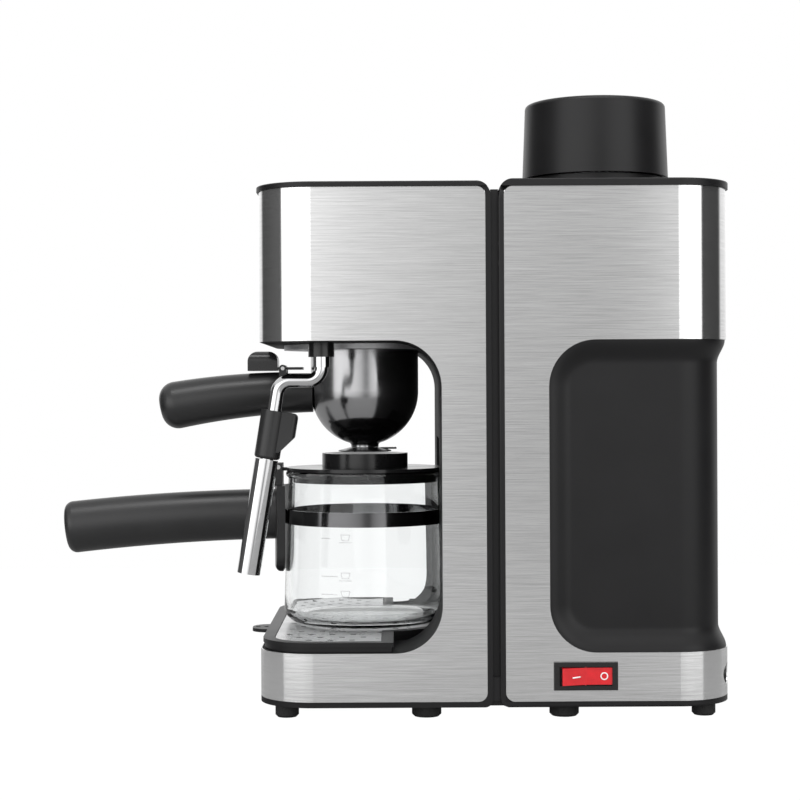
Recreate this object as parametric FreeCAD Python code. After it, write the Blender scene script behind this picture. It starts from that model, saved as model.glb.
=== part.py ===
import FreeCAD, Part
import math
import os
from FreeCAD import Vector

# Steam espresso machine. Millimetres, +Z up, the front faces -X.
# The origin lies on the table, under the seam between the two halves of the body.

# Body
body_depth = 240.0
body_width = 180.0
base_height = 34.0
bay_height = 156.5
head_height = 77.2
floor_gap = 6.7
corner_radius = 28.0
shell_wall = 2.4
column_depth = 27.0
bay_radius = 23.5
brew_setback = 40.2
scoop_gap = 5.4
scoop_height = 106.0
recess_depth = 4.6
recess_blend = 4.2

# Steel wraps and the black frame round them
wrap_thickness = 0.6
wrap_gap = 0.15
wrap_corner = 4.5
bottom_rim = 2.7
frame_strip = 2.6
seam_width = 3.8
seam_depth = 3.0
seam_frame_width = 12.0
half_top_round = 7.5
half_bottom_round = 4.0

# Top covers
front_cover_thickness = 2.6
rear_cover_thickness = 3.6
cover_overhang = 1.2
cover_edge = 0.8
skirt_depth = 5.0
skirt_thickness = 1.6
fit_gap = 0.25

# Base plate, feet and screws
plate_rise = 0.5
plate_thickness = 2.4
end_foot_radius = 6.0
inner_foot_radius = 7.5
foot_chamfer = 1.2
foot_stem_radius = 2.5
foot_inset_x = 14.0
foot_inner_x = 35.0
foot_inset_y = 16.0
screw_radius = 1.5
screw_head_radius = 2.8
screw_head_height = 2.0
base_head_height = 1.2
base_head_gap = 0.3
boss_radius = 4.2
boss_sink = 1.0
boss_setback = 36.0
screw_bite = 12.0
bore_gap = 0.05

# Boiler
boiler_x = 60.0
boiler_radius = 34.0
boiler_wall = 3.0
boiler_flange = 7.0
flange_thickness = 4.0
pot_depth = 43.0
gasket_thickness = 1.0
dome_height = 14.0
dome_taper = 8.0
shoulder_radius = 26.0
neck_radius = 20.0
neck_bore = 14.5
neck_rise = 7.8
shoulder_height = 9.7
nut_height = 4.6
boiler_screw_count = 6
element_radius = 22.0
element_tube = 3.5
element_pin = 12.0
element_pin_radius = 2.5
element_gap_angle = 30.0
thermostat_radius = 9.0
thermostat_height = 8.0

# Boiler cap
collar_outer = 37.0
collar_wall = 4.0
collar_height = 9.2
cap_radius = 39.8
cap_top_radius = 38.2
cap_height = 40.6
cap_edge = 2.4
cap_wall = 2.4
cap_clearance = 0.45
cap_hub_radius = 12.0
cap_gasket_thickness = 1.8
plug_length = 12.0
plug_clearance = 0.3
plug_flange = 3.2
relief_bore = 2.6
relief_stem = 2.3
relief_disc = 4.8
relief_disc_height = 1.8
relief_chamber = 6.0
spring_radius = 3.8
spring_wire = 0.5
spring_pitch = 2.6
spring_turns = 6

# Steam valve, pipes and knob
valve_x = -80.0
valve_y = 20.0
valve_half = 12.0
valve_drop = 21.7
valve_height = 20.0
pipe_radius = 3.0
pipe_wall = 1.0
outlet_radius = 5.4
outlet_reach = 5.0
spindle_radius = 3.5
spindle_depth = 12.0
spindle_hole = 4.6
knob_radius = 16.0
knob_depth = 18.0
knob_gap = 1.0
knob_edge = 2.0
knob_bar_half = 2.0
knob_bar_rise = 2.0
knob_bar_inset = 4.0

# Brew head
head_bore_gap = 1.0
head_wall = 8.0
head_hole_gap = 0.4
head_drop = 2.6
head_flange = 2.0
head_flange_height = 3.1
head_edge_gap = 0.4
head_inner_height = 18.1
head_plate = 6.0
ear_reach = 5.0
ear_radius = 5.0
ramp_gap = 2.0
ramp_height = 4.4
lug_count = 3
lug_span = 36.0
lug_gap_span = 46.0
lug_reach = 5.5
lug_height = 3.6
lug_clearance = 0.3
twist_angle = 45.0
group_gasket_thickness = 2.5
screen_inset = 4.5
screen_height = 1.8
screen_wall = 1.0
screen_floor = 0.8
screen_gap = 1.0

# Portafilter
bowl_radius = 29.5
bowl_wall = 2.6
bowl_rim_rise = 12.7
bowl_clearance = 1.5
bowl_neck_blend = 1.5
bowl_centre_drop = 25.2
bowl_neck_length = 1.0
bowl_neck_radius = 7.6
spout_shank = 5.0
spout_bore = 2.5
spout_flange = 7.0
spout_flange_height = 0.7
spout_drop = 2.5
spout_insert = 9.0
basket_gap = 0.5
basket_wall = 0.8
basket_depth = 25.0
basket_flange = 1.9
lever_outer = 14.5
lever_length = 17.4
lever_width = 4.0
lever_blade = 1.0
lever_gap = 0.2
lever_skirt_gap = 0.1
lever_pocket_gap = 0.4
lever_edge = 0.6
grip_drop = 25.5
grip_seat = 1.2
grip_seat_gap = 0.1
grip_length = 84.2
grip_root_radius = 11.0
grip_end_radius = 13.2
grip_start_slope = 0.0
grip_end_slope = 11.5
grip_end_round = 9.0
grip_flatten = 0.5
grip_boss_radius = 6.0
grip_boss_length = 8.0
bolt_radius = 3.0
bolt_length = 34.0

# Basket clip on the portafilter handle
clip_pivot = 15.0
clip_pivot_rise = 1.6
clip_strip = 1.4
clip_dip = 2.0
clip_width = 10.0
clip_reach_in = 11.0
clip_tab_near = 2.8
clip_tab_length = 16.4
clip_tab_width = 14.0
clip_tab_height = 10.1
clip_tab_sink = 0.6
clip_tab_round = 5.5
clip_knuckle = 2.0
clip_pin_radius = 1.0
clip_ear = 2.5
clip_ear_gap = 0.4

# Drip tray
tray_clear = 0.3
tray_height = 4.9
tray_lip = 2.2
tray_floor = 1.2
tray_inset = 1.2
tray_step = 0.8
tray_margin = 3.4
tray_rim = 6.0
tray_ledge = 2.2
tray_back_gap = 1.2
tab_length = 10.5
tab_width = 22.0
tab_thickness = 1.8
tab_hole = 1.4
tab_hole_setback = 3.0
tab_hole_pitch = 4.6
grid_thickness = 1.0
grid_gap = 0.3
grid_hole = 2.9
grid_pitch = 11.0
grid_border = 2.0
grid_sink = 0.2
grid_hole_share = 0.66

# Carafe
carafe_gap = 0.3
carafe_radius = 44.6
carafe_draft = 2.4
carafe_wall = 2.2
carafe_floor = 3.0
carafe_heel = 8.0
lip_height = 4.0
lip_inset = 1.2
lid_gap = 0.8
lid_dome_height = 7.7
lid_dome_radius = 23.5
lid_plate = 1.8
lid_inset = 1.6
lid_plug_depth = 6.0
lid_plug_gap = 0.6
lid_wall = 1.8
lid_hole = 5.0
lid_funnel = 4.0
band_below_lip = 20.8
band_height = 7.7
band_thickness = 0.8
band_lug_width = 9.0
band_lug_cover = 1.0
band_screw_setback = 2.8
band_screw_rise = 5.0
band_screw_head = 1.6
band_screw_head_radius = 2.0
band_screw_tail = 4.0
shield_gap = 0.5
shield_thickness = 4.4
shield_width = 26.0
shield_below_lip = 8.0
shield_height = 47.0
shield_end_round = 3.6
shield_corner = 9.0
handle_below_lip = 23.7
handle_length = 118.0
handle_half_height = 13.7
handle_half_width = 11.0
handle_flare = 0.5
handle_sink = 1.2
handle_start_slope = 0.5
handle_end_slope = 6.5
handle_end_round = 4.8
hinge_half_width = 6.0
hinge_pin_radius = 1.2

# Steam wand
wand_gap = 8.75
wand_forward = 21.1
wand_tube_radius = 3.5
ferrule_wall = 0.85
wand_bearing_gap = 0.07
wand_bend = 7.0
wand_arm_drop = 19.7
wand_reach = 21.9
wand_tilt = 9.3
wand_entry = 6.0
wand_collar_wall = 2.35
wand_collar_drop = 7.4
wand_neck_wall = 1.45
collar_nut_wall = 3.2
collar_nut_height = 4.0
collar_stub = 14.0
feed_bend = 14.0
wand_grip_wall = 3.15
wand_grip_start = 15.5
wand_grip_end = 40.6
grip_bore_gap = 0.02
wing_reach = 12.7
wing_width = 10.0
wing_length = 12.0
wing_tail = 4.0
wing_round = 2.6
wand_grip_round = 1.6
sleeve_wall = 2.5
sleeve_length = 59.8
sleeve_gap = 0.3
sleeve_mouth_flare = 1.1
sleeve_mouth_depth = 8.0

# Rocker switch and cord gland
switch_x = 44.5
switch_z = 22.2
bezel_length = 32.0
bezel_height = 14.0
bezel_lip = 1.4
switch_margin = 2.2
switch_depth = 20.0
switch_back = 4.0
rocker_length = 25.4
rocker_height = 8.5
rocker_rise = 2.6
rocker_waist = 0.8
rocker_drop = 6.0
rocker_pivot_depth = 1.5
rocker_gap = 0.5
rocker_pin = 1.0
rocker_pin_bite = 1.0
rocker_taper = 1.0
rocker_heel = 2.0
blade_length = 7.0
blade_width = 5.0
blade_thickness = 0.8
blade_offset = 7.0
gland_inset = 20.0
gland_z = 20.2
gland_radius = 5.6
gland_bore = 3.4
gland_flange = 2.0
gland_flange_thickness = 2.0
gland_length = 11.0
wire_radius = 1.1
wire_bend = 6.0
wire_gap = 0.3

# Levels and places worked out from the sizes above
far = 400.0
half_width = body_width / 2
front_x = -body_depth / 2
back_x = body_depth / 2
seam_half = seam_width / 2
bay_floor = base_height
bay_ceiling = base_height + bay_height
bay_back = -column_depth
cover_seat = bay_ceiling + head_height
wrap_bottom = floor_gap + bottom_rim
plate_bottom = floor_gap + plate_rise
plate_top = plate_bottom + plate_thickness
lining_top = bay_ceiling + shell_wall
brew_x = bay_back - brew_setback
scoop_radius = carafe_radius + scoop_gap

rear_cover_top = cover_seat + rear_cover_thickness
dome_base = cover_seat - shoulder_height - dome_taper - dome_height
pot_rim = dome_base - gasket_thickness
pot_bottom = pot_rim - pot_depth
neck_top = rear_cover_top + neck_rise
collar_top = rear_cover_top + collar_height
cap_bottom = collar_top + cap_clearance
cap_top = cap_bottom + cap_height
plug_seat = neck_top + cap_gasket_thickness
relief_seat = plug_seat + plug_flange
spring_seat = relief_seat + relief_disc_height

valve_z = cover_seat - valve_drop
lug_radius = bowl_radius + lug_reach
head_bore = lug_radius + head_bore_gap
head_outer = head_bore + head_wall
ear_offset = head_outer + ear_reach
ramp_inner = bowl_radius + ramp_gap
screen_radius = bowl_radius - screen_inset
head_bottom = bay_ceiling - head_drop
head_roof = head_bottom + head_inner_height
head_top = head_roof + head_plate
ramp_top = head_bottom + ramp_height

bowl_rim = bay_ceiling + bowl_rim_rise
bowl_centre = bay_ceiling - bowl_centre_drop
bowl_neck_end = bowl_centre - bowl_radius - bowl_neck_length
spout_bottom = bowl_neck_end - spout_drop
grip_z = bay_ceiling - grip_drop
grip_root = brew_x - bowl_radius + grip_seat
grip_boss_end = brew_x - bowl_radius - grip_boss_length
clip_x = brew_x - bowl_radius - clip_pivot

tray_bottom = bay_floor + tray_clear
tray_top = tray_bottom + tray_height
tray_back = bay_back - bay_radius - tray_back_gap
carafe_base = tray_top + carafe_gap
carafe_top_radius = carafe_radius - carafe_draft
lip_radius = carafe_radius - lip_inset
lid_radius = carafe_radius - lid_inset
lid_top = spout_bottom - lid_gap
lid_plate_top = lid_top - lid_dome_height
glass_top = lid_plate_top - lid_plate
lip_bottom = glass_top - lip_height
band_top = glass_top - band_below_lip
band_bottom = band_top - band_height
shield_top = glass_top - shield_below_lip
shield_inner = carafe_radius + shield_gap
shield_outer = shield_inner + shield_thickness
band_screw_x = brew_x - shield_outer + band_screw_setback
hinge_x = brew_x - shield_inner - shield_thickness / 2
hinge_z = glass_top + lip_height / 2

wand_ferrule_radius = wand_tube_radius + ferrule_wall
wand_collar_radius = wand_ferrule_radius + wand_collar_wall
wand_neck_radius = wand_ferrule_radius + wand_neck_wall
collar_nut_radius = wand_neck_radius + collar_nut_wall
wand_grip_radius = wand_tube_radius + wand_grip_wall
sleeve_radius = wand_tube_radius + sleeve_wall
sleeve_mouth_radius = wand_tube_radius + sleeve_mouth_flare
wand_x = brew_x - wand_forward
wand_y = -(carafe_radius + wand_gap + wand_grip_radius)
wand_arm_z = bay_ceiling - wand_arm_drop
wand_corner = Vector(wand_x - wand_reach, wand_y, wand_arm_z)
wand_lean = math.radians(wand_tilt)
wand_down = Vector(-math.sin(wand_lean), 0, -math.cos(wand_lean))
wand_side = Vector(math.cos(wand_lean), 0, -math.sin(wand_lean))
sleeve_start = wand_grip_end + sleeve_gap
sleeve_end = sleeve_start + sleeve_length

gland_y = half_width - gland_inset
rocker_tilt = math.degrees(math.atan2(rocker_rise - rocker_waist, rocker_length / 2))
rocker_pivot = Vector(switch_x, -half_width + rocker_pivot_depth, switch_z)


# Shape helpers
def box(x0, x1, y0, y1, z0, z1):
    return Part.makeBox(x1 - x0, y1 - y0, z1 - z0, Vector(x0, y0, z0))


def cylinder(radius, start, end):
    axis = end - start
    return Part.makeCylinder(radius, axis.Length, start, axis)


def upright(radius, x, y, z0, z1):
    return Part.makeCylinder(radius, z1 - z0, Vector(x, y, z0))


def ring(outer, inner, x, y, z0, z1):
    return upright(outer, x, y, z0, z1).cut(upright(inner, x, y, z0, z1))


def turned(x, y, outline):
    """Solid turned about the upright axis at x, y from (radius, height) points."""
    points = [Vector(x + radius, y, height) for radius, height in outline]
    face = Part.Face(Part.makePolygon(points + points[:1]))
    return face.revolve(Vector(x, y, 0), Vector(0, 0, 1), 360)


def joined(shapes):
    whole = shapes[0]
    for shape in shapes[1:]:
        whole = whole.fuse(shape)
    return whole.removeSplitter()


def edges_along(shape, direction, test):
    """Straight edges of a shape that run along a direction and pass a test on their middle."""
    found = []
    for edge in shape.Edges:
        run = edge.lastVertex().Point - edge.firstVertex().Point
        if run.Length and run.cross(direction).Length < 1e-6 * run.Length and test(edge.CenterOfMass):
            found.append(edge)
    return found


def rounded_block(x0, x1, y0, y1, z0, z1, radius):
    """Block with its four upright edges rounded."""
    block = box(x0, x1, y0, y1, z0, z1)
    return block.makeFillet(radius, edges_along(block, Vector(0, 0, 1), lambda point: True))


def rear(shape):
    """Mirror image of a front-half shape, in the rear half."""
    return shape.mirror(Vector(0, 0, 0), Vector(1, 0, 0))


def bent_wire(points, bend):
    """Straight runs joined by tangent arcs of one radius."""
    edges = []
    start = points[0]
    for before, corner, after in zip(points, points[1:], points[2:]):
        toward = (corner - before).normalize()
        away = (after - corner).normalize()
        half_turn = toward.getAngle(away) / 2
        reach = bend * math.tan(half_turn)
        middle = corner + (away - toward).normalize() * (bend / math.cos(half_turn) - bend)
        edges.append(Part.LineSegment(start, corner - toward * reach).toShape())
        edges.append(Part.Arc(corner - toward * reach, middle, corner + away * reach).toShape())
        start = corner + away * reach
    edges.append(Part.LineSegment(start, points[-1]).toShape())
    return Part.Wire(edges)


def tube(points, radius, bend):
    """Round bar along straight runs and arcs."""
    path = bent_wire(points, bend)
    section = Part.Circle(points[0], points[1] - points[0], radius).toShape()
    return path.makePipeShell([Part.Wire([section])], True, False)


def drooping_grip(root, length, slopes, half_heights, half_widths, end_round):
    """Handle that runs towards -X and curves down at a steady rate, oval in section."""
    first, last = math.radians(slopes[0]), math.radians(slopes[1])
    bend = length / (last - first)
    sections = []
    section_count = 5
    for index in range(section_count):
        share = index / (section_count - 1)
        slope = first + (last - first) * share
        along = bend * (math.sin(slope) - math.sin(first))
        fall = bend * (math.cos(first) - math.cos(slope))
        centre = root + Vector(-along, 0, -fall)
        up = Vector(-math.sin(slope), 0, math.cos(slope))
        height = half_heights[0] + (half_heights[1] - half_heights[0]) * share
        width = half_widths[0] + (half_widths[1] - half_widths[0]) * share
        oval = Part.Ellipse(centre + up * height, centre + Vector(0, width, 0), centre)
        sections.append(Part.Wire([oval.toShape()]))
    grip = Part.makeLoft(sections, True, False)
    end_edge = min(grip.Edges, key=lambda edge: edge.CenterOfMass.x)
    return grip.makeFillet(end_round, [end_edge])


# Body outlines
def envelope(inset, z0, z1):
    """Upright block with the plan of the whole body, drawn in by an inset."""
    return rounded_block(
        front_x + inset, back_x - inset, -half_width + inset, half_width - inset,
        z0, z1, corner_radius - inset,
    )


def half_profile(top):
    """Side outline of the front half as a wide prism, rounded where it meets the seam."""
    block = box(-far, -seam_half, -far, far, floor_gap, top)
    along_y = Vector(0, 1, 0)
    upper = edges_along(block, along_y, lambda p: p.x > -far / 2 and p.z > top / 2)
    lower = edges_along(block, along_y, lambda p: p.x > -far / 2 and p.z < top / 2)
    return block.makeFillet(half_top_round, upper).makeFillet(half_bottom_round, lower)


def bay_block(grow):
    """The open bay's outline in side view as a wide prism, grown by a wall."""
    block = box(-far, bay_back + grow, -far, far, bay_floor - grow, bay_ceiling + grow)
    corners = edges_along(block, Vector(0, 1, 0), lambda p: p.x > -far / 2)
    return block.makeFillet(bay_radius + grow, corners)


def scoop(grow):
    """Round hollow in the column behind the carafe."""
    return upright(scoop_radius + grow, brew_x, 0, bay_floor - grow, bay_floor + scoop_height + grow)


def wrap_region(gap):
    """Side outline of the front steel wrap as a wide prism, less a gap all round."""
    block = box(-far, -seam_half - frame_strip - gap, -far, far, wrap_bottom + gap, cover_seat - gap)
    corners = edges_along(block, Vector(0, 1, 0), lambda p: p.x > -far / 2)
    return block.makeFillet(wrap_corner, corners).cut(bay_block(gap))


def wrap_sheet():
    """Front steel wrap, before any holes."""
    sleeve = envelope(0, 0, cover_seat).cut(envelope(wrap_thickness, 0, cover_seat))
    return sleeve.common(wrap_region(wrap_gap))


def wrap_recess():
    """What is cut from the front shell so that its wrap lies flush."""
    sleeve = envelope(-1, 0, cover_seat + 1).cut(envelope(wrap_thickness, 0, cover_seat + 1))
    return sleeve.common(wrap_region(0))


def half_block(cover_thickness):
    """Solid outline of a half body below its top cover."""
    block = envelope(0, floor_gap, cover_seat).common(half_profile(cover_seat + cover_thickness))
    return block.cut(wrap_recess())


def half_cavity():
    """Inside of a half body, open at its seam, top and bottom."""
    inside = envelope(shell_wall, 0, cover_seat + 1)
    return inside.common(box(-far, 0, -far, far, 0, far))


def seam_flanges():
    """Upright flanges inside the front half where it is screwed to the seam frame."""
    outer = half_width - shell_wall / 2
    inner = half_width - seam_frame_width
    flange = box(-seam_half - shell_wall, -seam_half, inner, outer, plate_top, cover_seat - skirt_depth - 1)
    return [flange, flange.mirror(Vector(0, 0, 0), Vector(0, 1, 0))]


def boss_places():
    """Where the base plate is screwed to the front half."""
    y = half_width - shell_wall - boss_radius + boss_sink
    return [(x, side * y) for x in (front_x + boss_setback, -column_depth / 2) for side in (-1, 1)]


def screw_bosses():
    return [upright(boss_radius, x, y, plate_top, bay_floor - shell_wall / 2) for x, y in boss_places()]


def boss_bores():
    bore = screw_radius + bore_gap
    return [upright(bore, x, y, plate_top, plate_top + screw_bite) for x, y in boss_places()]


def frame_screw_places():
    """Heights and sides of the screws through the seam flanges."""
    y = half_width - seam_frame_width / 2 - shell_wall / 2
    return [(side * y, z) for z in (bay_floor, bay_ceiling + head_height / 2) for side in (-1, 1)]


def frame_bores():
    bore = screw_radius + bore_gap
    return [cylinder(bore, Vector(-far, y, z), Vector(far, y, z)) for y, z in frame_screw_places()]


def ear_places():
    """Screw places on the brew head's ears, all over the flat of the bay's ceiling."""
    angles = [math.radians(angle) for angle in (90, 135, 225, 270)]
    return [(brew_x + ear_offset * math.cos(a), ear_offset * math.sin(a)) for a in angles]


# Casing
def front_shell():
    cavity = half_cavity().cut(bay_block(shell_wall)).cut(scoop(shell_wall))
    shell = half_block(front_cover_thickness).cut(bay_block(0)).cut(scoop(0)).cut(cavity)
    shell = joined([shell] + seam_flanges() + screw_bosses())
    cuts = boss_bores() + frame_bores_near(-1)
    cuts.append(upright(head_outer + head_hole_gap, brew_x, 0, head_bottom - head_hole_gap, lining_top + 1))
    cuts.append(upright(bowl_radius + bowl_clearance, brew_x, 0, bowl_centre, lining_top))
    cuts.append(upright(wand_neck_radius + bore_gap, wand_x, wand_y, bay_ceiling - 1, lining_top + 1))
    cuts.append(cylinder(spindle_hole, Vector(valve_x, 0, valve_z), Vector(valve_x, far, valve_z)))
    bore = screw_radius + bore_gap
    cuts += [upright(bore, x, y, bay_ceiling + 0.5, lining_top + 1) for x, y in ear_places()]
    return shell.cut(Part.makeCompound(cuts))


def frame_bores_near(side):
    """Screw bores through the seam flange of one half only."""
    reach = seam_half + shell_wall + 1
    bore = screw_radius + bore_gap
    return [
        cylinder(bore, Vector(0, y, z), Vector(side * reach, y, z)) for y, z in frame_screw_places()
    ]


def front_wrap():
    hole = cylinder(spindle_hole, Vector(valve_x, 0, valve_z), Vector(valve_x, far, valve_z))
    return wrap_sheet().cut(hole)


def cover_plate(thickness):
    """Top cover of the front half, with a skirt that drops inside the shell."""
    top = cover_seat + thickness
    plate = envelope(-cover_overhang, cover_seat, top)
    upper = [edge for edge in plate.Edges if edge.BoundBox.ZMin > top - 0.01]
    plate = plate.makeFillet(cover_edge, upper)
    lip = shell_wall + fit_gap
    skirt = envelope(lip, cover_seat - skirt_depth, cover_seat)
    skirt = skirt.cut(envelope(lip + skirt_thickness, 0, cover_seat))
    skirt = skirt.common(box(-far, -seam_half - half_top_round - 2, -far, far, 0, far))
    return joined([plate.common(half_profile(top)), skirt])


def front_top_cover():
    return cover_plate(front_cover_thickness)


def rear_shell():
    recess = rear(bay_block(0)).cut(envelope(recess_depth, 0, far))
    recess = recess.common(envelope(-5, 0, far))
    recess = recess.makeFillet(recess_blend, recess_floor_edges(recess))
    behind = rear(bay_block(shell_wall)).cut(envelope(recess_depth + shell_wall, 0, far))
    cavity = rear(half_cavity()).cut(behind)
    shell = rear(half_block(rear_cover_thickness)).cut(recess).cut(cavity)
    shell = joined([shell] + [rear(part) for part in seam_flanges() + screw_bosses()])
    cuts = [rear(part) for part in boss_bores()] + frame_bores_near(1)
    cuts += [switch_cutout(), gland_cutout()]
    return shell.cut(Part.makeCompound(cuts))


def recess_floor_edges(recess):
    """Edges round the floor of the rear recess, where its step meets the sunk wall."""
    sunk = envelope(recess_depth, 0, far)
    sides = [face for face in sunk.Faces if abs(face.normalAt(0, 0).z) < 0.5]
    found = []
    for edge in recess.Edges:
        middle = Part.Vertex(edge.valueAt((edge.FirstParameter + edge.LastParameter) / 2))
        upright_edge = abs(edge.tangentAt(edge.FirstParameter).z) > 0.99
        on_sunk = min(face.distToShape(middle)[0] for face in sides) < 0.01
        if on_sunk and not (upright_edge and middle.X > bay_back * -1 + 1):
            found.append(edge)
    return found


def rear_wrap():
    return rear(wrap_sheet()).cut(switch_cutout()).cut(gland_cutout())


def rear_top_cover():
    plate = rear(cover_plate(rear_cover_thickness))
    collar = ring(collar_outer, collar_outer - collar_wall, boiler_x, 0, rear_cover_top, collar_top)
    whole = joined([plate, collar])
    return whole.cut(upright(neck_radius + fit_gap, boiler_x, 0, 0, far))


def seam_frame():
    """Frame between the halves; it shows as the floor of the seam."""
    outer = half_width - seam_depth
    inner = half_width - seam_frame_width
    top = cover_seat - seam_depth / 2
    frame = box(-seam_half, seam_half, -outer, outer, plate_top, top)
    frame = frame.cut(box(-far, far, -inner, inner, plate_top + seam_frame_width, top - seam_frame_width))
    shells_wall = half_width - shell_wall / 2
    touch = box(-seam_half, seam_half, -shells_wall, shells_wall, plate_top, plate_top + seam_frame_width)
    return joined([frame, touch]).cut(Part.makeCompound(frame_bores()))


def frame_screws():
    reach = seam_half + shell_wall
    screws = []
    for y, z in frame_screw_places():
        shank = cylinder(screw_radius, Vector(-reach, y, z), Vector(reach, y, z))
        heads = [
            cylinder(screw_head_radius, Vector(side * reach, y, z),
                     Vector(side * (reach + screw_head_height), y, z))
            for side in (-1, 1)
        ]
        screws.append(joined([shank] + heads))
    return Part.makeCompound(screws)


def base_screw_places():
    return boss_places() + [(-x, y) for x, y in boss_places()]


def base_plate():
    plate = envelope(shell_wall + fit_gap, plate_bottom, plate_top)
    holes = [upright(screw_radius + bore_gap, x, y, 0, far) for x, y in base_screw_places()]
    sunk = screw_head_radius + base_head_gap
    holes += [upright(sunk, x, y, 0, plate_bottom + base_head_height) for x, y in base_screw_places()]
    holes += [upright(foot_stem_radius + bore_gap, x, y, 0, far) for x, y, radius in foot_places()]
    return plate.cut(Part.makeCompound(holes))


def base_screws():
    tip = plate_top + screw_bite - 1
    screws = []
    for x, y in base_screw_places():
        seat = plate_bottom + base_head_height
        head = upright(screw_head_radius, x, y, plate_bottom, seat)
        screws.append(joined([head, upright(screw_radius, x, y, seat, tip)]))
    return Part.makeCompound(screws)


def foot_places():
    end_x = back_x - foot_inset_x
    y = half_width - foot_inset_y
    places = []
    for side in (-1, 1):
        for x, radius in ((end_x, end_foot_radius), (foot_inner_x, inner_foot_radius)):
            places += [(-x, side * y, radius), (x, side * y, radius)]
    return places


def feet():
    shapes = []
    for x, y, radius in foot_places():
        outline = [(0, 0), (radius - foot_chamfer, 0), (radius, foot_chamfer), (radius, plate_bottom)]
        outline += [(foot_stem_radius, plate_bottom), (foot_stem_radius, plate_top), (0, plate_top)]
        shapes.append(turned(x, y, outline))
    return Part.makeCompound(shapes)


# Boiler
def boiler_pot():
    outer = boiler_radius
    inner = boiler_radius - boiler_wall
    flange = boiler_radius + boiler_flange
    outline = [(0, pot_bottom), (outer, pot_bottom), (outer, pot_rim - flange_thickness)]
    outline += [(flange, pot_rim - flange_thickness), (flange, pot_rim), (inner, pot_rim)]
    outline += [(inner, pot_bottom + boiler_wall), (0, pot_bottom + boiler_wall)]
    return turned(boiler_x, 0, outline).cut(Part.makeCompound(boiler_screw_bores()))


def boiler_top():
    outer = boiler_radius
    inner = boiler_radius - boiler_wall
    flange = boiler_radius + boiler_flange
    dome_end = dome_base + dome_height
    taper_end = dome_end + dome_taper
    outline = [(inner, dome_base), (flange, dome_base), (flange, dome_base + flange_thickness)]
    outline += [(outer, dome_base + flange_thickness), (outer, dome_end), (shoulder_radius, taper_end)]
    outline += [(neck_bore, taper_end), (inner, dome_end - boiler_wall)]
    body = turned(boiler_x, 0, outline)
    hollow = turned(boiler_x, 0, [(0, dome_base), (inner, dome_base), (inner, dome_end - boiler_wall),
                                  (neck_bore, taper_end), (0, taper_end)])
    face_x = outlet_face()
    outlet = cylinder(outlet_radius, Vector(face_x, valve_y, valve_z), Vector(boiler_x, valve_y, valve_z))
    bore = cylinder(pipe_radius - pipe_wall, Vector(face_x - 1, valve_y, valve_z),
                    Vector(boiler_x, valve_y, valve_z))
    return joined([body, outlet.cut(hollow)]).cut(bore).cut(Part.makeCompound(boiler_screw_bores()))


def filler_neck():
    """Neck that stands on the boiler top and holds it up against the rear cover."""
    seat = dome_base + dome_height + dome_taper
    outline = [(neck_bore, seat), (shoulder_radius, seat), (shoulder_radius, cover_seat)]
    outline += [(neck_radius, cover_seat), (neck_radius, neck_top), (neck_bore, neck_top)]
    return turned(boiler_x, 0, outline)


def outlet_face():
    """Where the steam outlet on the boiler's side ends."""
    side = math.sqrt(boiler_radius ** 2 - (valve_y + outlet_radius) ** 2)
    return boiler_x - side - outlet_radius - outlet_reach


def boiler_screw_places():
    radius = boiler_radius + boiler_flange / 2
    angles = [2 * math.pi * index / boiler_screw_count for index in range(boiler_screw_count)]
    return [(boiler_x + radius * math.cos(a), radius * math.sin(a)) for a in angles]


def boiler_screw_bores():
    bore = screw_radius + bore_gap
    return [
        upright(bore, x, y, pot_rim - 2 * flange_thickness, dome_base + flange_thickness)
        for x, y in boiler_screw_places()
    ]


def boiler_gasket():
    gasket = ring(boiler_radius + boiler_flange, boiler_radius - boiler_wall, boiler_x, 0, pot_rim, dome_base)
    return gasket.cut(Part.makeCompound(boiler_screw_bores()))


def boiler_screws():
    low = pot_rim - flange_thickness
    high = dome_base + flange_thickness
    screws = []
    for x, y in boiler_screw_places():
        parts = [upright(screw_radius, x, y, low, high)]
        parts.append(upright(screw_head_radius, x, y, high, high + screw_head_height))
        parts.append(upright(screw_head_radius, x, y, low - screw_head_height, low))
        screws.append(joined(parts))
    return Part.makeCompound(screws)


def neck_nut():
    nut_top = rear_cover_top + nut_height
    return ring(shoulder_radius, neck_radius + bore_gap, boiler_x, 0, rear_cover_top, nut_top)


def heating_element():
    """Open ring of tube against the pot's floor, with a pin down from each end."""
    level = pot_bottom - element_tube
    gap = math.radians(element_gap_angle)
    ends = [Vector(boiler_x - element_radius * math.cos(gap), side * element_radius * math.sin(gap), level)
            for side in (-1, 1)]
    arc = Part.Arc(ends[0], Vector(boiler_x + element_radius, 0, level), ends[1]).toShape()
    tangent = arc.tangentAt(arc.FirstParameter)
    section = Part.Circle(arc.valueAt(arc.FirstParameter), tangent, element_tube).toShape()
    loop = Part.Wire([arc]).makePipeShell([Part.Wire([section])], True, False)
    pins = [cylinder(element_pin_radius, end - Vector(0, 0, element_pin), end) for end in ends]
    return joined([loop] + pins)


def thermostat():
    body = upright(thermostat_radius, boiler_x, 0, pot_bottom - thermostat_height, pot_bottom)
    blade = box(-blade_width / 2, blade_width / 2, -blade_thickness / 2, blade_thickness / 2,
                -blade_length, 0)
    blades = []
    for side in (-1, 1):
        place = Vector(boiler_x, side * thermostat_radius / 2, pot_bottom - thermostat_height)
        blades.append(blade.translated(place))
    return joined([body] + blades)


# Boiler cap
def cap_gasket():
    return ring(neck_radius - fit_gap, neck_bore + fit_gap, boiler_x, 0, neck_top, plug_seat)


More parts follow.
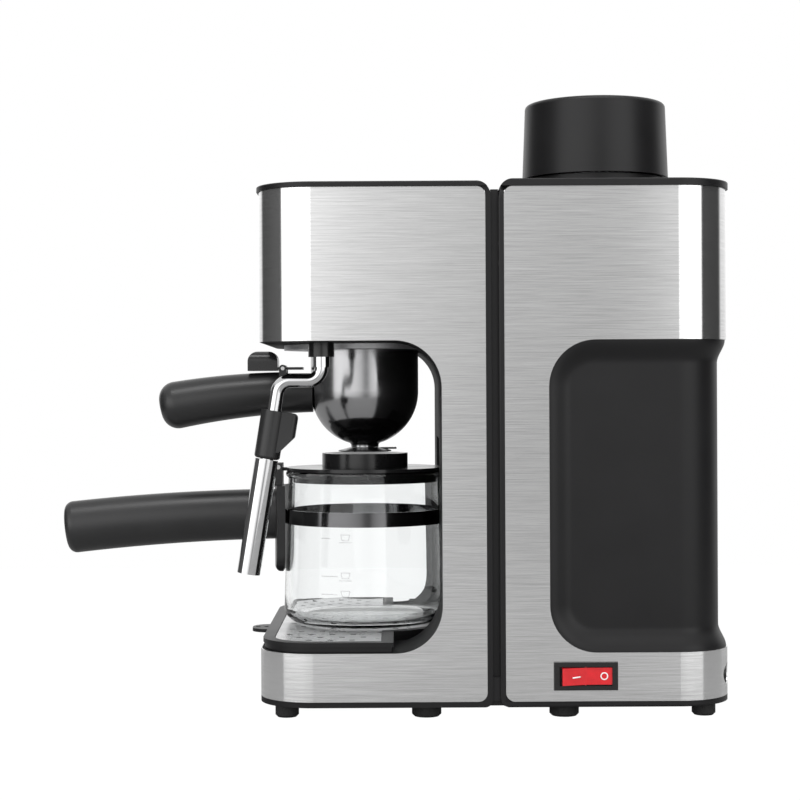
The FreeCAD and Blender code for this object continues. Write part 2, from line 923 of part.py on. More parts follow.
def cap_plug():
    radius = neck_bore - plug_clearance
    plug = joined([
        upright(radius, boiler_x, 0, neck_top - plug_length, plug_seat),
        upright(neck_radius - fit_gap, boiler_x, 0, plug_seat, relief_seat),
    ])
    return plug.cut(upright(relief_bore, boiler_x, 0, 0, far))


def boiler_cap():
    inner = cap_radius - cap_wall
    roof = cap_top - cap_wall
    outline = [(inner, cap_bottom), (cap_radius, cap_bottom), (cap_top_radius, cap_top), (0, cap_top)]
    outline += [(0, roof), (cap_top_radius - cap_wall, roof)]
    shell = turned(boiler_x, 0, outline)
    rim = max(shell.Edges, key=lambda edge: edge.CenterOfMass.z + edge.BoundBox.XLength)
    shell = shell.makeFillet(cap_edge, [rim])
    hub = ring(cap_hub_radius, relief_chamber, boiler_x, 0, relief_seat, spring_top())
    crown = upright(cap_hub_radius, boiler_x, 0, spring_top(), roof)
    return joined([shell, hub, crown])


def spring_top():
    return spring_seat + spring_pitch * spring_turns + 2 * spring_wire


def relief_valve():
    stem = upright(relief_stem, boiler_x, 0, neck_top - plug_length, spring_seat)
    disc = upright(relief_disc, boiler_x, 0, relief_seat, spring_seat)
    return joined([stem, disc])


def relief_spring():
    """Coil spring between the relief valve's disc and the roof of its chamber."""
    base = spring_seat + spring_wire
    step = math.pi / 2
    points = []
    for index in range(spring_turns * 4 * 2 + 1):
        angle = index * step / 2
        height = base + spring_pitch * angle / (2 * math.pi)
        across, along = spring_radius * math.cos(angle), spring_radius * math.sin(angle)
        points.append(Vector(boiler_x + across, along, height))
    arcs = [Part.Arc(*points[index:index + 3]).toShape() for index in range(0, len(points) - 2, 2)]
    section = Part.Circle(points[0], arcs[0].tangentAt(arcs[0].FirstParameter), spring_wire).toShape()
    print("relief spring gap between turns", round(spring_pitch - 2 * spring_wire, 2))
    return Part.Wire(arcs).makePipeShell([Part.Wire([section])], True, False)


# Steam valve, pipes and knob
def steam_valve():
    low = valve_z - valve_height / 2
    high = valve_z + valve_height / 2
    block = rounded_block(valve_x - valve_half, valve_x + valve_half, valve_y - valve_half,
                          valve_y + valve_half, low, high, spindle_radius)
    bore_end = Vector(valve_x, valve_y + valve_half + 1, valve_z)
    bore_start = bore_end - Vector(0, spindle_depth + 1, 0)
    return block.cut(cylinder(spindle_radius + bore_gap, bore_start, bore_end))


def steam_pipe():
    start = Vector(valve_x + valve_half, valve_y, valve_z)
    return cylinder(pipe_radius, start, Vector(outlet_face(), valve_y, valve_z))


def brew_pipe():
    return upright(pipe_radius, valve_x, valve_y, head_top, valve_z - valve_height / 2)


def wand_feed_pipe():
    start = Vector(wand_x, valve_y - valve_half, valve_z)
    corner = Vector(wand_x, wand_y, valve_z)
    return tube([start, corner, Vector(wand_x, wand_y, bay_ceiling + collar_stub)], pipe_radius, feed_bend)


def valve_spindle():
    start = Vector(valve_x, valve_y + valve_half - spindle_depth + bore_gap, valve_z)
    return cylinder(spindle_radius, start, Vector(valve_x, half_width + knob_gap + knob_depth / 2, valve_z))


def steam_knob():
    inner = half_width + knob_gap
    knob = cylinder(knob_radius, Vector(valve_x, inner, valve_z),
                    Vector(valve_x, inner + knob_depth, valve_z))
    outer_edge = max(knob.Edges, key=lambda edge: edge.CenterOfMass.y)
    knob = knob.makeFillet(knob_edge, [outer_edge])
    bar_reach = knob_radius - knob_bar_inset
    bar = box(valve_x - knob_bar_half, valve_x + knob_bar_half, inner + knob_depth - 1,
              inner + knob_depth + knob_bar_rise, valve_z - bar_reach, valve_z + bar_reach)
    bore_end = Vector(valve_x, inner + knob_depth / 2, valve_z)
    return joined([knob, bar]).cut(cylinder(spindle_radius + bore_gap, Vector(valve_x, 0, valve_z), bore_end))


# Brew head
def sector(outer, inner, z0, z1, centre, span):
    """Part of a ring about the brew axis, centred on an angle."""
    blank = Part.makeCylinder(outer, z1 - z0, Vector(brew_x, 0, z0), Vector(0, 0, 1), span)
    blank.rotate(Vector(brew_x, 0, 0), Vector(0, 0, 1), centre - span / 2)
    return blank.cut(upright(inner, brew_x, 0, z0, z1))


def lug_angles():
    return [180 + 360 * index / lug_count for index in range(lug_count)]


def brew_head():
    outline = [(head_bore, head_bottom), (head_outer, head_bottom), (head_outer, lining_top)]
    rim = head_outer + head_flange
    outline += [(rim, lining_top), (rim, lining_top + head_flange_height)]
    outline += [(head_outer, lining_top + head_flange_height), (head_outer, head_top), (0, head_top)]
    outline += [(0, head_roof), (head_bore, head_roof)]
    parts = [turned(brew_x, 0, outline).common(envelope(shell_wall + head_edge_gap, 0, far))]
    keepout = upright(head_outer - 1, brew_x, 0, 0, far)
    for x, y in ear_places():
        parts.append(upright(ear_radius, x, y, lining_top, lining_top + head_flange_height).cut(keepout))
    ramp_span = 360 / lug_count - lug_gap_span
    ramp_lead = -twist_angle + lug_gap_span / 2 + ramp_span / 2
    for angle in lug_angles():
        ramp = sector(head_bore + 1, ramp_inner, head_bottom, ramp_top, angle + ramp_lead, ramp_span)
        parts.append(ramp)
    bores = [upright(screw_radius + bore_gap, x, y, 0, far) for x, y in ear_places()]
    bores.append(upright(screw_radius + bore_gap, brew_x, 0, head_roof, head_roof + head_plate - 1))
    return joined(parts).cut(Part.makeCompound(bores))


def head_screws():
    seat = lining_top + head_flange_height
    screws = []
    for x, y in ear_places():
        head = upright(screw_head_radius, x, y, seat, seat + screw_head_height)
        screws.append(joined([head, upright(screw_radius, x, y, bay_ceiling + 0.5, seat)]))
    return Part.makeCompound(screws)


def group_gasket():
    low = head_roof - group_gasket_thickness
    return ring(head_bore - bore_gap, screen_radius + screen_gap, brew_x, 0, low, head_roof)


def shower_screen():
    low = head_roof - screen_height
    dish = upright(screen_radius, brew_x, 0, low, head_roof)
    hollow = upright(screen_radius - screen_wall, brew_x, 0, low + screen_floor, head_roof)
    return dish.cut(hollow).cut(upright(screw_radius + bore_gap, brew_x, 0, 0, far))


def shower_screw():
    low = head_roof - screen_height
    head = upright(screw_head_radius, brew_x, 0, low - 1, low)
    return joined([head, upright(screw_radius, brew_x, 0, low, head_roof + head_plate - 2)])


# Portafilter
def portafilter_bowl():
    outer = upright(bowl_radius, brew_x, 0, bowl_centre, bowl_rim)
    ball = lower_ball(bowl_radius)
    neck = upright(bowl_neck_radius, brew_x, 0, bowl_neck_end, bowl_centre)
    lugs = [
        sector(lug_radius, bowl_radius - 1, ramp_top + lug_clearance, ramp_top + lug_clearance + lug_height,
               angle, lug_span)
        for angle in lug_angles()
    ]
    boss_end = Vector(grip_boss_end, 0, grip_z)
    boss = cylinder(grip_boss_radius, boss_end, Vector(brew_x - bowl_radius / 2, 0, grip_z))
    foot = joined([ball, neck])
    foot = foot.makeFillet(bowl_neck_blend, bowl_neck_edges(foot))
    whole = joined([outer, foot, boss] + lugs)
    inner_radius = bowl_radius - bowl_wall
    hollow = upright(inner_radius, brew_x, 0, bowl_centre, bowl_rim)
    hollow = hollow.fuse(lower_ball(inner_radius))
    seat = upright(inner_radius + basket_flange - basket_gap, brew_x, 0, bowl_rim - basket_wall, bowl_rim)
    drain = upright(spout_shank + bore_gap, brew_x, 0, bowl_neck_end, bowl_centre)
    bolt_bore = cylinder(bolt_radius + bore_gap, boss_end, boss_end + Vector(grip_boss_length, 0, 0))
    return whole.cut(hollow).cut(seat).cut(drain).cut(bolt_bore)


def lower_ball(radius):
    """Lower half of a ball about the bowl's centre."""
    return Part.makeSphere(radius, Vector(brew_x, 0, bowl_centre), Vector(0, 0, 1), -90, 0, 360)


def bowl_neck_edges(foot):
    """Where the bowl's round bottom meets its neck."""
    level = bowl_centre - math.sqrt(bowl_radius ** 2 - bowl_neck_radius ** 2)
    return [edge for edge in foot.Edges
            if abs(edge.BoundBox.ZMin - level) < 0.1 and edge.BoundBox.ZLength < 0.1]


def bowl_outline(gap):
    """Outside of the bowl, grown by a gap, as a cutter for what is seated on it."""
    ball = Part.makeSphere(bowl_radius + gap, Vector(brew_x, 0, bowl_centre))
    return ball.fuse(upright(bowl_radius + gap, brew_x, 0, bowl_centre, bowl_rim))


def portafilter_spout():
    top = bowl_neck_end + spout_insert
    shank = upright(spout_shank, brew_x, 0, spout_bottom, top)
    flange = upright(spout_flange, brew_x, 0, spout_bottom, spout_bottom + spout_flange_height)
    return joined([shank, flange]).cut(upright(spout_bore, brew_x, 0, 0, far))


def portafilter_handle():
    root = Vector(grip_root, 0, grip_z)
    grip = drooping_grip(root, grip_length, (grip_start_slope, grip_end_slope),
                         (grip_root_radius, grip_end_radius),
                         (grip_root_radius - grip_flatten, grip_end_radius - grip_flatten),
                         grip_end_round)
    parts = [grip]
    pivot = clip_pivot_point()
    ear_inner = clip_width / 2 + clip_ear_gap
    for side in (-1, 1):
        near, far_side = sorted((side * ear_inner, side * (ear_inner + clip_ear)))
        knuckle = cylinder(clip_knuckle, Vector(clip_x, near, pivot.z), Vector(clip_x, far_side, pivot.z))
        leg = box(clip_x - clip_knuckle, clip_x + clip_knuckle, near, far_side, grip_z, pivot.z)
        parts += [knuckle, leg]
    whole = joined(parts)
    reach = ear_inner + clip_ear
    pin_bore = cylinder(clip_pin_radius + bore_gap, Vector(clip_x, -reach, pivot.z),
                        Vector(clip_x, reach, pivot.z))
    boss_end = Vector(grip_boss_end, 0, grip_z)
    boss_bore = cylinder(grip_boss_radius + bore_gap, boss_end, root)
    bolt_bore = cylinder(bolt_radius + bore_gap, boss_end, boss_end - Vector(bolt_length, 0, 0))
    channel = box(clip_x, grip_root, -ear_inner, ear_inner, pivot.z - clip_strip / 2 - clip_dip, far)
    swing = cylinder(clip_knuckle + clip_ear_gap, Vector(clip_x, -ear_inner, pivot.z),
                     Vector(clip_x, ear_inner, pivot.z))
    whole = whole.cut(bowl_outline(grip_seat_gap)).cut(boss_bore).cut(bolt_bore)
    return whole.cut(pin_bore).cut(channel).cut(swing)


def handle_bolt():
    boss_end = Vector(grip_boss_end, 0, grip_z)
    return cylinder(bolt_radius, boss_end - Vector(bolt_length - 1, 0, 0),
                    boss_end + Vector(grip_boss_length, 0, 0))


def filter_basket():
    outer = bowl_radius - bowl_wall - basket_gap
    low = bowl_rim - basket_depth
    seat = bowl_rim - basket_wall
    flange = bowl_radius - bowl_wall + basket_flange - 2 * basket_gap
    inner = outer - basket_wall
    outline = [(0, low), (outer, low), (outer, seat), (flange, seat), (flange, bowl_rim), (inner, bowl_rim)]
    outline += [(inner, low + basket_wall), (0, low + basket_wall)]
    return turned(brew_x, 0, outline)


def clip_pivot_point():
    """Axis of the basket clip, just above the top of the handle."""
    share = (grip_root - clip_x) / grip_length
    top = grip_root_radius + (grip_end_radius - grip_root_radius) * share
    return Vector(clip_x, 0, grip_z + top + clip_pivot_rise)


def filter_clip():
    pivot = clip_pivot_point()
    low = pivot.z - clip_strip / 2
    tab_near = clip_x - clip_tab_near
    tab_far = tab_near - clip_tab_length
    strip = box(tab_far, clip_x + clip_reach_in, -clip_width / 2, clip_width / 2, low, low + clip_strip)
    knuckle = cylinder(clip_knuckle, Vector(clip_x, -clip_width / 2, pivot.z),
                       Vector(clip_x, clip_width / 2, pivot.z))
    tab = box(tab_far, tab_near, -clip_tab_width / 2, clip_tab_width / 2, low - clip_tab_sink,
              low + clip_tab_height)
    crown = [edge for edge in tab.Edges if edge.CenterOfMass.z > low + clip_tab_height - 0.1]
    tab = tab.makeFillet(clip_tab_round, crown)
    reach = clip_tab_width
    bore = cylinder(clip_pin_radius + bore_gap, Vector(clip_x, -reach, pivot.z),
                    Vector(clip_x, reach, pivot.z))
    return joined([strip, knuckle, tab]).cut(bore)


def clip_pin():
    pivot = clip_pivot_point()
    reach = clip_width / 2 + clip_ear_gap + clip_ear
    return cylinder(clip_pin_radius, Vector(clip_x, -reach, pivot.z), Vector(clip_x, reach, pivot.z))


def strength_lever():
    """Flared ring round the spout with a thin blade towards the column."""
    inner = spout_shank + bore_gap
    under = spout_bottom + spout_flange_height + lever_gap
    top = bowl_neck_end - lever_gap
    skirt = spout_bottom + lever_skirt_gap
    pocket = spout_flange + lever_pocket_gap
    outline = [(inner, under), (pocket, under), (pocket, skirt), (lever_outer, skirt),
               (lever_outer, skirt + lever_edge)]
    outline += [(bowl_neck_radius + lever_edge, top), (inner, top)]
    blade = box(brew_x + pocket, brew_x + lever_length, -lever_width / 2, lever_width / 2,
                top - lever_blade, top)
    return joined([turned(brew_x, 0, outline), blade])


# Carafe
def carafe_radius_at(height):
    """Outer radius of the glass between its heel and its lip."""
    heel = carafe_base + carafe_heel
    share = (height - heel) / (lip_bottom - heel)
    return carafe_radius + (carafe_top_radius - carafe_radius) * share


def carafe_glass():
    heel = carafe_base + carafe_heel
    wall = carafe_wall
    inner_top = lip_radius - wall
    outer = [(0, carafe_base), (carafe_radius, carafe_base), (carafe_radius, heel)]
    outer += [(carafe_top_radius, lip_bottom), (lip_radius, lip_bottom + 1), (lip_radius, glass_top),
              (0, glass_top)]
    inner = [(0, carafe_base + carafe_floor), (carafe_radius - wall, carafe_base + carafe_floor)]
    inner += [(carafe_radius - wall, heel), (carafe_top_radius - wall, lip_bottom)]
    inner += [(inner_top, glass_top), (0, glass_top)]
    return rounded_heel(turned(brew_x, 0, outer), carafe_heel - 0.5).cut(
        rounded_heel(turned(brew_x, 0, inner), carafe_heel - wall - 1))


def rounded_heel(solid, radius):
    lowest = solid.BoundBox.ZMin
    edges = [edge for edge in solid.Edges if edge.BoundBox.ZMax < lowest + 0.01 and edge.BoundBox.XLength > 1]
    return solid.makeFillet(radius, edges)


def carafe_lid():
    wall = lid_wall
    plug = carafe_top_radius - carafe_wall - lid_plug_gap
    low = glass_top - lid_plug_depth
    outline = [(plug - wall, low), (plug, low), (plug, glass_top), (lid_radius, glass_top)]
    outline += [(lid_radius, lid_plate_top), (lid_dome_radius, lid_plate_top), (lid_dome_radius, lid_top)]
    outline += [(lid_dome_radius - wall, lid_top), (lid_hole, lid_top - lid_funnel),
                (lid_hole, lid_top - lid_funnel - wall)]
    outline += [(lid_dome_radius - wall, glass_top), (plug - wall, glass_top)]
    lid = turned(brew_x, 0, outline)
    knuckle = cylinder(lip_height / 2, Vector(hinge_x, -hinge_half_width / 2, hinge_z),
                       Vector(hinge_x, hinge_half_width / 2, hinge_z))
    tongue = box(hinge_x, brew_x - lid_radius + 2, -hinge_half_width / 2, hinge_half_width / 2,
                 glass_top, lid_plate_top)
    return joined([lid, tongue, knuckle]).cut(lid_pin_bore())


def lid_pin_bore():
    reach = hinge_half_width + 1
    return cylinder(hinge_pin_radius + bore_gap, Vector(hinge_x, -reach, hinge_z),
                    Vector(hinge_x, reach, hinge_z))


def lid_pin():
    return cylinder(hinge_pin_radius, Vector(hinge_x, -hinge_half_width, hinge_z),
                    Vector(hinge_x, hinge_half_width, hinge_z))


def carafe_band():
    low, high = carafe_radius_at(band_bottom), carafe_radius_at(band_top)
    gap = bore_gap
    outline = [(low + gap, band_bottom), (low + gap + band_thickness, band_bottom)]
    outline += [(high + gap + band_thickness, band_top), (high + gap, band_top)]
    lug = box(brew_x - shield_outer + band_lug_cover, brew_x - low - gap - band_thickness / 2,
              -band_lug_width / 2,
              band_lug_width / 2, band_bottom, band_top)
    bore = upright(screw_radius + bore_gap, band_screw_x, 0, 0, far)
    return joined([turned(brew_x, 0, outline), lug]).cut(bore)


def band_screw():
    top = band_top + band_screw_rise
    seat = top - band_screw_head
    head = upright(band_screw_head_radius, band_screw_x, 0, seat, top)
    return joined([head, upright(screw_radius, band_screw_x, 0, band_bottom - band_screw_tail, seat)])


def carafe_handle():
    low = shield_top - shield_height
    curve = ring(shield_outer, shield_inner, brew_x, 0, low, shield_top)
    heel = [edge for edge in curve.Edges
            if edge.CenterOfMass.z < low + 0.1 and edge.BoundBox.XLength > 2 * shield_outer - 1]
    curve = curve.makeFillet(shield_end_round, heel)
    plate = box(-far, brew_x - shield_inner / 2, -shield_width / 2, shield_width / 2, low, shield_top)
    corners = edges_along(plate, Vector(1, 0, 0), lambda middle: middle.z < low + 0.1)
    shield = curve.common(plate.makeFillet(shield_corner, corners))
    root = Vector(brew_x - shield_inner - handle_sink, 0, glass_top - handle_below_lip)
    grip = drooping_grip(root, handle_length, (handle_start_slope, handle_end_slope),
                         (handle_half_height, handle_half_height + handle_flare),
                         (handle_half_width, handle_half_width + handle_flare), handle_end_round)
    ears = []
    for side in (-1, 1):
        near, away = sorted((side * (hinge_half_width / 2 + fit_gap), side * hinge_half_width))
        ears.append(box(hinge_x - shield_thickness / 2, hinge_x + shield_thickness / 2, near, away,
                        shield_top - 1, hinge_z + hinge_pin_radius + 1))
    whole = joined([shield, grip] + ears)
    whole = whole.cut(upright(shield_inner, brew_x, 0, 0, far))
    slot = box(brew_x - shield_outer + band_lug_cover - fit_gap, brew_x, -band_lug_width / 2 - fit_gap,
               band_lug_width / 2 + fit_gap, band_bottom - fit_gap, band_top + fit_gap)
    seat = band_top + band_screw_rise - band_screw_head
    bore = upright(screw_radius + bore_gap, band_screw_x, 0, band_bottom - band_screw_tail, seat)
    head_bore = upright(band_screw_head_radius + fit_gap, band_screw_x, 0, seat, far)
    return whole.cut(slot).cut(bore).cut(head_bore).cut(lid_pin_bore())


# Drip tray
def tray_block(inset, z0, z1):
    """Plan of the drip tray, drawn in by an inset: a rounded front and a round tongue under the carafe."""
    edge = tray_inset + inset
    front = rounded_block(front_x + edge, tray_back + corner_radius - inset, -half_width + edge,
                          half_width - edge, z0, z1, corner_radius - edge)
    front = front.common(box(-far, tray_back - inset, -far, far, 0, far))
    tongue = upright(carafe_radius + tray_margin - inset, brew_x, 0, z0, z1)
    return front.fuse(tongue).removeSplitter()


def drip_tray():
    lip_bottom_z = tray_top - tray_lip
    body = tray_block(tray_step, tray_bottom, lip_bottom_z).fuse(tray_block(0, lip_bottom_z, tray_top))
    tab_front = front_x + tray_inset - tab_length
    tab = box(tab_front, front_x + corner_radius / 2, -tab_width / 2, tab_width / 2,
              tray_bottom, tray_bottom + tab_thickness)
    corners = edges_along(tab, Vector(0, 0, 1), lambda p: p.x < tab_front + 1)
    tab = tab.makeFillet(tab_width / 2 - 2, corners)
    whole = joined([body, tab])
    pan = tray_block(tray_rim + tray_ledge, tray_bottom + tray_floor, tray_top)
    seat = tray_block(tray_rim, tray_top - grid_thickness - grid_sink, tray_top)
    holes = [
        upright(tab_hole, tab_front + tab_hole_setback + index * tab_hole_pitch, 0, 0, tray_top - tray_lip)
        for index in range(2)
    ]
    return whole.cut(pan).cut(seat).cut(Part.makeCompound(holes))


def drip_grid():
    low = tray_top - grid_thickness - grid_sink
    plate = tray_block(tray_rim + grid_gap, low, low + grid_thickness)
    solid_part = tray_block(tray_rim + tray_ledge + grid_border, low - 1, low + 2)
    half_hole = grid_hole / 2
    holes = []
    rows = int(half_width / grid_pitch)
    columns = int(body_depth / 2 / grid_pitch)
    for row in range(-rows, rows + 1):
        for column in range(-columns, columns + 1):
            x = brew_x + (column + 0.5 * (row % 2)) * grid_pitch
            y = row * grid_pitch
            hole = box(x - half_hole, x + half_hole, y - half_hole, y + half_hole, low - 1, low + 2)
            corners = [solid_part.isInside(vertex.Point, 0.01, True) for vertex in hole.Vertexes]
            middle = solid_part.isInside(Vector(x, y, low), 0.01, True)
            if middle and (all(corners) or solid_part.common(hole).Volume > hole.Volume * grid_hole_share):
                holes.append(hole)
    return plate.cut(Part.makeCompound(holes))


# Steam wand
def wand_point(distance):
    """Point on the wand's lower leg, measured from its bend."""
    return wand_corner + wand_down * distance


def wand_collar():
    low = bay_ceiling - wand_collar_drop
    top = bay_ceiling + collar_stub
    bore = wand_ferrule_radius + wand_bearing_gap
    outline = [(bore, low), (wand_collar_radius, low), (wand_collar_radius, bay_ceiling)]
    outline += [(wand_neck_radius, bay_ceiling), (wand_neck_radius, top), (0, top)]
    outline += [(0, bay_ceiling + wand_entry + 1), (bore, bay_ceiling + wand_entry + 1)]
    return turned(wand_x, wand_y, outline)


def collar_nut():
    return ring(collar_nut_radius, wand_neck_radius + bore_gap, wand_x, wand_y, lining_top,
                lining_top + collar_nut_height)


def wand_tube():
    start = Vector(wand_x, wand_y, bay_ceiling + wand_entry)
    elbow = Vector(wand_x, wand_y, wand_arm_z)
    end = wand_point(sleeve_end - sleeve_mouth_depth - 2)
    run = tube([start, elbow, wand_corner, end], wand_tube_radius, wand_bend)
    ferrule = upright(wand_ferrule_radius, wand_x, wand_y, wand_arm_z + wand_bend, bay_ceiling + wand_entry)
    return joined([run, ferrule])


def wand_grip():
    body = cylinder(wand_grip_radius, wand_point(wand_grip_start), wand_point(wand_grip_end))
    tail = min((edge for edge in body.Edges if edge.Closed), key=lambda edge: edge.CenterOfMass.z)
    body = body.makeFillet(wand_grip_round, [tail])
    wing_y = Vector(0, wing_width / 2, 0)
    stops = [(wand_grip_start, 0), (wand_grip_start, wing_reach), (wand_grip_start + wing_length, wing_reach),
             (wand_grip_end - wing_tail, wand_grip_radius - 1), (wand_grip_end - wing_tail, 0)]
    corners = [wand_point(along) + wand_side * aside - wing_y for along, aside in stops]
    wing = Part.Face(Part.makePolygon(corners + corners[:1])).extrude(wing_y * 2)
    tip = wand_point(wand_grip_start) + wand_side * wing_reach
    edges = [edge for edge in wing.Edges
             if (edge.CenterOfMass - tip).Length < wing_length + 1 and edge.Length > 1]
    outer = [edge for edge in edges if (edge.CenterOfMass - tip).dot(wand_side) > -1]
    wing = wing.makeFillet(wing_round, outer)
    bore = cylinder(wand_tube_radius + grip_bore_gap, wand_point(0), wand_point(sleeve_end))
    return joined([body, wing]).cut(bore)


def froth_sleeve():
    body = cylinder(sleeve_radius, wand_point(sleeve_start), wand_point(sleeve_end))
    bore = cylinder(wand_tube_radius + bore_gap, wand_point(0), wand_point(sleeve_end))
    mouth = cylinder(sleeve_mouth_radius, wand_point(sleeve_end - sleeve_mouth_depth),
                     wand_point(sleeve_end + 1))
    return body.cut(bore).cut(mouth)


# Rocker switch, cord gland and wiring
def switch_block(length, height, y0, y1):
    return box(switch_x - length / 2, switch_x + length / 2, y0, y1,
               switch_z - height / 2, switch_z + height / 2)


def switch_cutout():
    gap = 2 * fit_gap
    return switch_block(bezel_length - 2 * switch_margin + gap, bezel_height - switch_margin + gap,
                        -half_width - 1, -half_width + 2 * shell_wall)


def switch_bezel():
    outer = -half_width
    flange = switch_block(bezel_length, bezel_height, outer - bezel_lip, outer)
    body = switch_block(bezel_length - 2 * switch_margin, bezel_height - switch_margin,
                        outer, outer + switch_depth)
    pocket = switch_block(rocker_length + 2 * rocker_gap, rocker_height + 2 * rocker_gap,
                          outer - bezel_lip - 1,
                          outer + switch_depth - switch_back)
    reach = Vector(0, 0, rocker_height / 2 + rocker_gap + rocker_pin_bite)
    pin = cylinder(rocker_pin + bore_gap, rocker_pivot - reach, rocker_pivot + reach)
    blades = [switch_blade(side) for side in (-1, 1)]
    return joined([flange, body] + blades).cut(pocket).cut(pin)


def blade_end():
    return -half_width + switch_depth + blade_length


def switch_blade(side):
    x = switch_x + side * blade_offset
    return box(x - blade_thickness / 2, x + blade_thickness / 2, -half_width + switch_depth, blade_end(),
               switch_z - blade_width / 2, switch_z + blade_width / 2)


def switch_rocker():
    """Rocker with a shallow valley, tipped so that its left end stands out."""
    half = rocker_length / 2
    outline = [(-half, rocker_rise), (0, rocker_waist), (half, rocker_rise),
               (half - rocker_taper, -rocker_drop + rocker_heel),
               (0, -rocker_drop), (-half + rocker_taper, -rocker_drop + rocker_heel)]
    low = switch_z - rocker_height / 2
    points = [Vector(switch_x + x, rocker_pivot.y - rocker_pivot_depth - out, low) for x, out in outline]
    face = Part.Face(Part.makePolygon(points + points[:1]))
    body = face.extrude(Vector(0, 0, rocker_height))
    reach = Vector(0, 0, rocker_height / 2 + rocker_gap + rocker_pin_bite - fit_gap)
    whole = joined([body, cylinder(rocker_pin, rocker_pivot - reach, rocker_pivot + reach)])
    whole.rotate(rocker_pivot, Vector(0, 0, 1), rocker_tilt)
    return whole


def gland_axis(x):
    return Vector(x, -gland_y, gland_z)


def gland_face():
    """Where the cord gland ends, flush with the rounded rear corner of the body."""
    into_corner = max(0, corner_radius - gland_inset)
    return back_x - corner_radius + math.sqrt(corner_radius ** 2 - into_corner ** 2)


def gland_cutout():
    return cylinder(gland_radius + bore_gap, gland_axis(gland_face() - 2 * corner_radius / 3),
                    gland_axis(far))


def cord_gland():
    outer = gland_face() - gland_radius / 4
    inner = outer - gland_length
    body = cylinder(gland_radius, gland_axis(inner), gland_axis(outer))
    flange = cylinder(gland_radius + gland_flange, gland_axis(inner - gland_flange_thickness),
                      gland_axis(inner))
    return joined([body, flange]).cut(cylinder(gland_bore, gland_axis(0), gland_axis(far)))


def wiring():
    """Two cores from the cord gland, and the lead from the switch up to the element."""
    start = gland_face() - gland_radius / 4 - gland_length / 2
    level = blade_end()
    live_x = switch_x + blade_offset
    feed_x = switch_x - blade_offset
    gap = math.radians(element_gap_angle)
    pin_x = boiler_x - element_radius * math.cos(gap)
    pin_y = element_radius * math.sin(gap)
    pin_end = pot_bottom - element_tube - element_pin
    turn = level + 3 * wire_bend
    rise = bay_ceiling / 2
    offset = Vector(0, 0, wire_radius + wire_gap)
    live = [gland_axis(start) + offset, gland_axis(start - 3 * wire_bend) + offset,
            Vector(live_x + 2 * wire_bend, turn, switch_z), Vector(live_x, turn, switch_z),
            Vector(live_x, level, switch_z)]
    heat = [Vector(feed_x, level, switch_z), Vector(feed_x, turn, switch_z), Vector(feed_x, turn, rise),
            Vector(pin_x, -pin_y, rise + 3 * wire_bend), Vector(pin_x, -pin_y, pin_end)]
    back_turn = start - 6 * wire_bend
    neutral = [gland_axis(start) - offset, gland_axis(back_turn) - offset, Vector(back_turn, pin_y, gland_z),
               Vector(back_turn, pin_y, rise), Vector(pin_x, pin_y, rise + 3 * wire_bend),
               Vector(pin_x, pin_y, pin_end)]
    return Part.makeCompound([tube(route, wire_radius, wire_bend) for route in (live, heat, neutral)])


PIECES = [
    front_shell, front_wrap, front_top_cover, rear_shell, rear_wrap, rear_top_cover, seam_frame,
    frame_screws, base_plate, base_screws, feet, boiler_pot, boiler_top, filler_neck, boiler_gasket,
    boiler_screws, neck_nut, heating_element, thermostat, cap_gasket, cap_plug, boiler_cap, relief_valve,
    relief_spring, steam_valve, steam_pipe, brew_pipe, wand_feed_pipe, valve_spindle, steam_knob, brew_head,
    head_screws, group_gasket, shower_screen, shower_screw, portafilter_bowl, portafilter_spout,
    portafilter_handle, handle_bolt, filter_basket, filter_clip, clip_pin, strength_lever, carafe_glass,
    carafe_lid, lid_pin, carafe_band, band_screw, carafe_handle, drip_tray, drip_grid, wand_collar,
    collar_nut, wand_tube, wand_grip, froth_sleeve, switch_bezel, switch_rocker, cord_gland, wiring,
]

os.makedirs("parts", exist_ok=True)
for piece in PIECES:
    shape = piece()
    name = piece.__name__
    shape.exportStep("parts/" + name + ".step")
    print(name, len(shape.Solids), "valid" if shape.isValid() else "NOT VALID", round(shape.Volume, 1))
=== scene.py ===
import math

import bmesh
import bpy
from bpy.props import FloatProperty, FloatVectorProperty, IntProperty, PointerProperty
from mathutils import Matrix, Vector
from mathutils.bvhtree import BVHTree


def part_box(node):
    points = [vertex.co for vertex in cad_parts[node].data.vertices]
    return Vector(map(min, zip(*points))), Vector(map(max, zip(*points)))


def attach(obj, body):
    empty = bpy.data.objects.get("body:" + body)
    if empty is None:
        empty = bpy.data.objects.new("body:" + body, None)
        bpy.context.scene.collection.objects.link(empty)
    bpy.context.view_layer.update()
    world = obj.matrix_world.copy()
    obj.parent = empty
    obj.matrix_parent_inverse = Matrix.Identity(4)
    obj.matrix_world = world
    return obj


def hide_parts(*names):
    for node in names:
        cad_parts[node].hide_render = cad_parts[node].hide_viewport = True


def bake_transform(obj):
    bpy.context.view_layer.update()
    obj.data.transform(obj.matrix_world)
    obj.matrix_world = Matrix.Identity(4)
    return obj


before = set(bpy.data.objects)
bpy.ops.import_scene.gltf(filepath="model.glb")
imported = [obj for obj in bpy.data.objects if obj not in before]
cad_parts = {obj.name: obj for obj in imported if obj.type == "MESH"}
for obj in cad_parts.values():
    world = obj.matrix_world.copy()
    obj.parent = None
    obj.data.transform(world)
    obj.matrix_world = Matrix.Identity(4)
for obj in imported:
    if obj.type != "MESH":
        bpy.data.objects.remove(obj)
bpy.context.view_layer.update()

bl_info = {
    "name": "Steam espresso machine",
    "version": (1, 0, 0),
    "blender": (4, 5, 0),
    "location": "View3D > Sidebar > Espresso",
    "description": "Finishes and fine pieces of a steam espresso machine with a glass jug",
    "category": "Object",
}

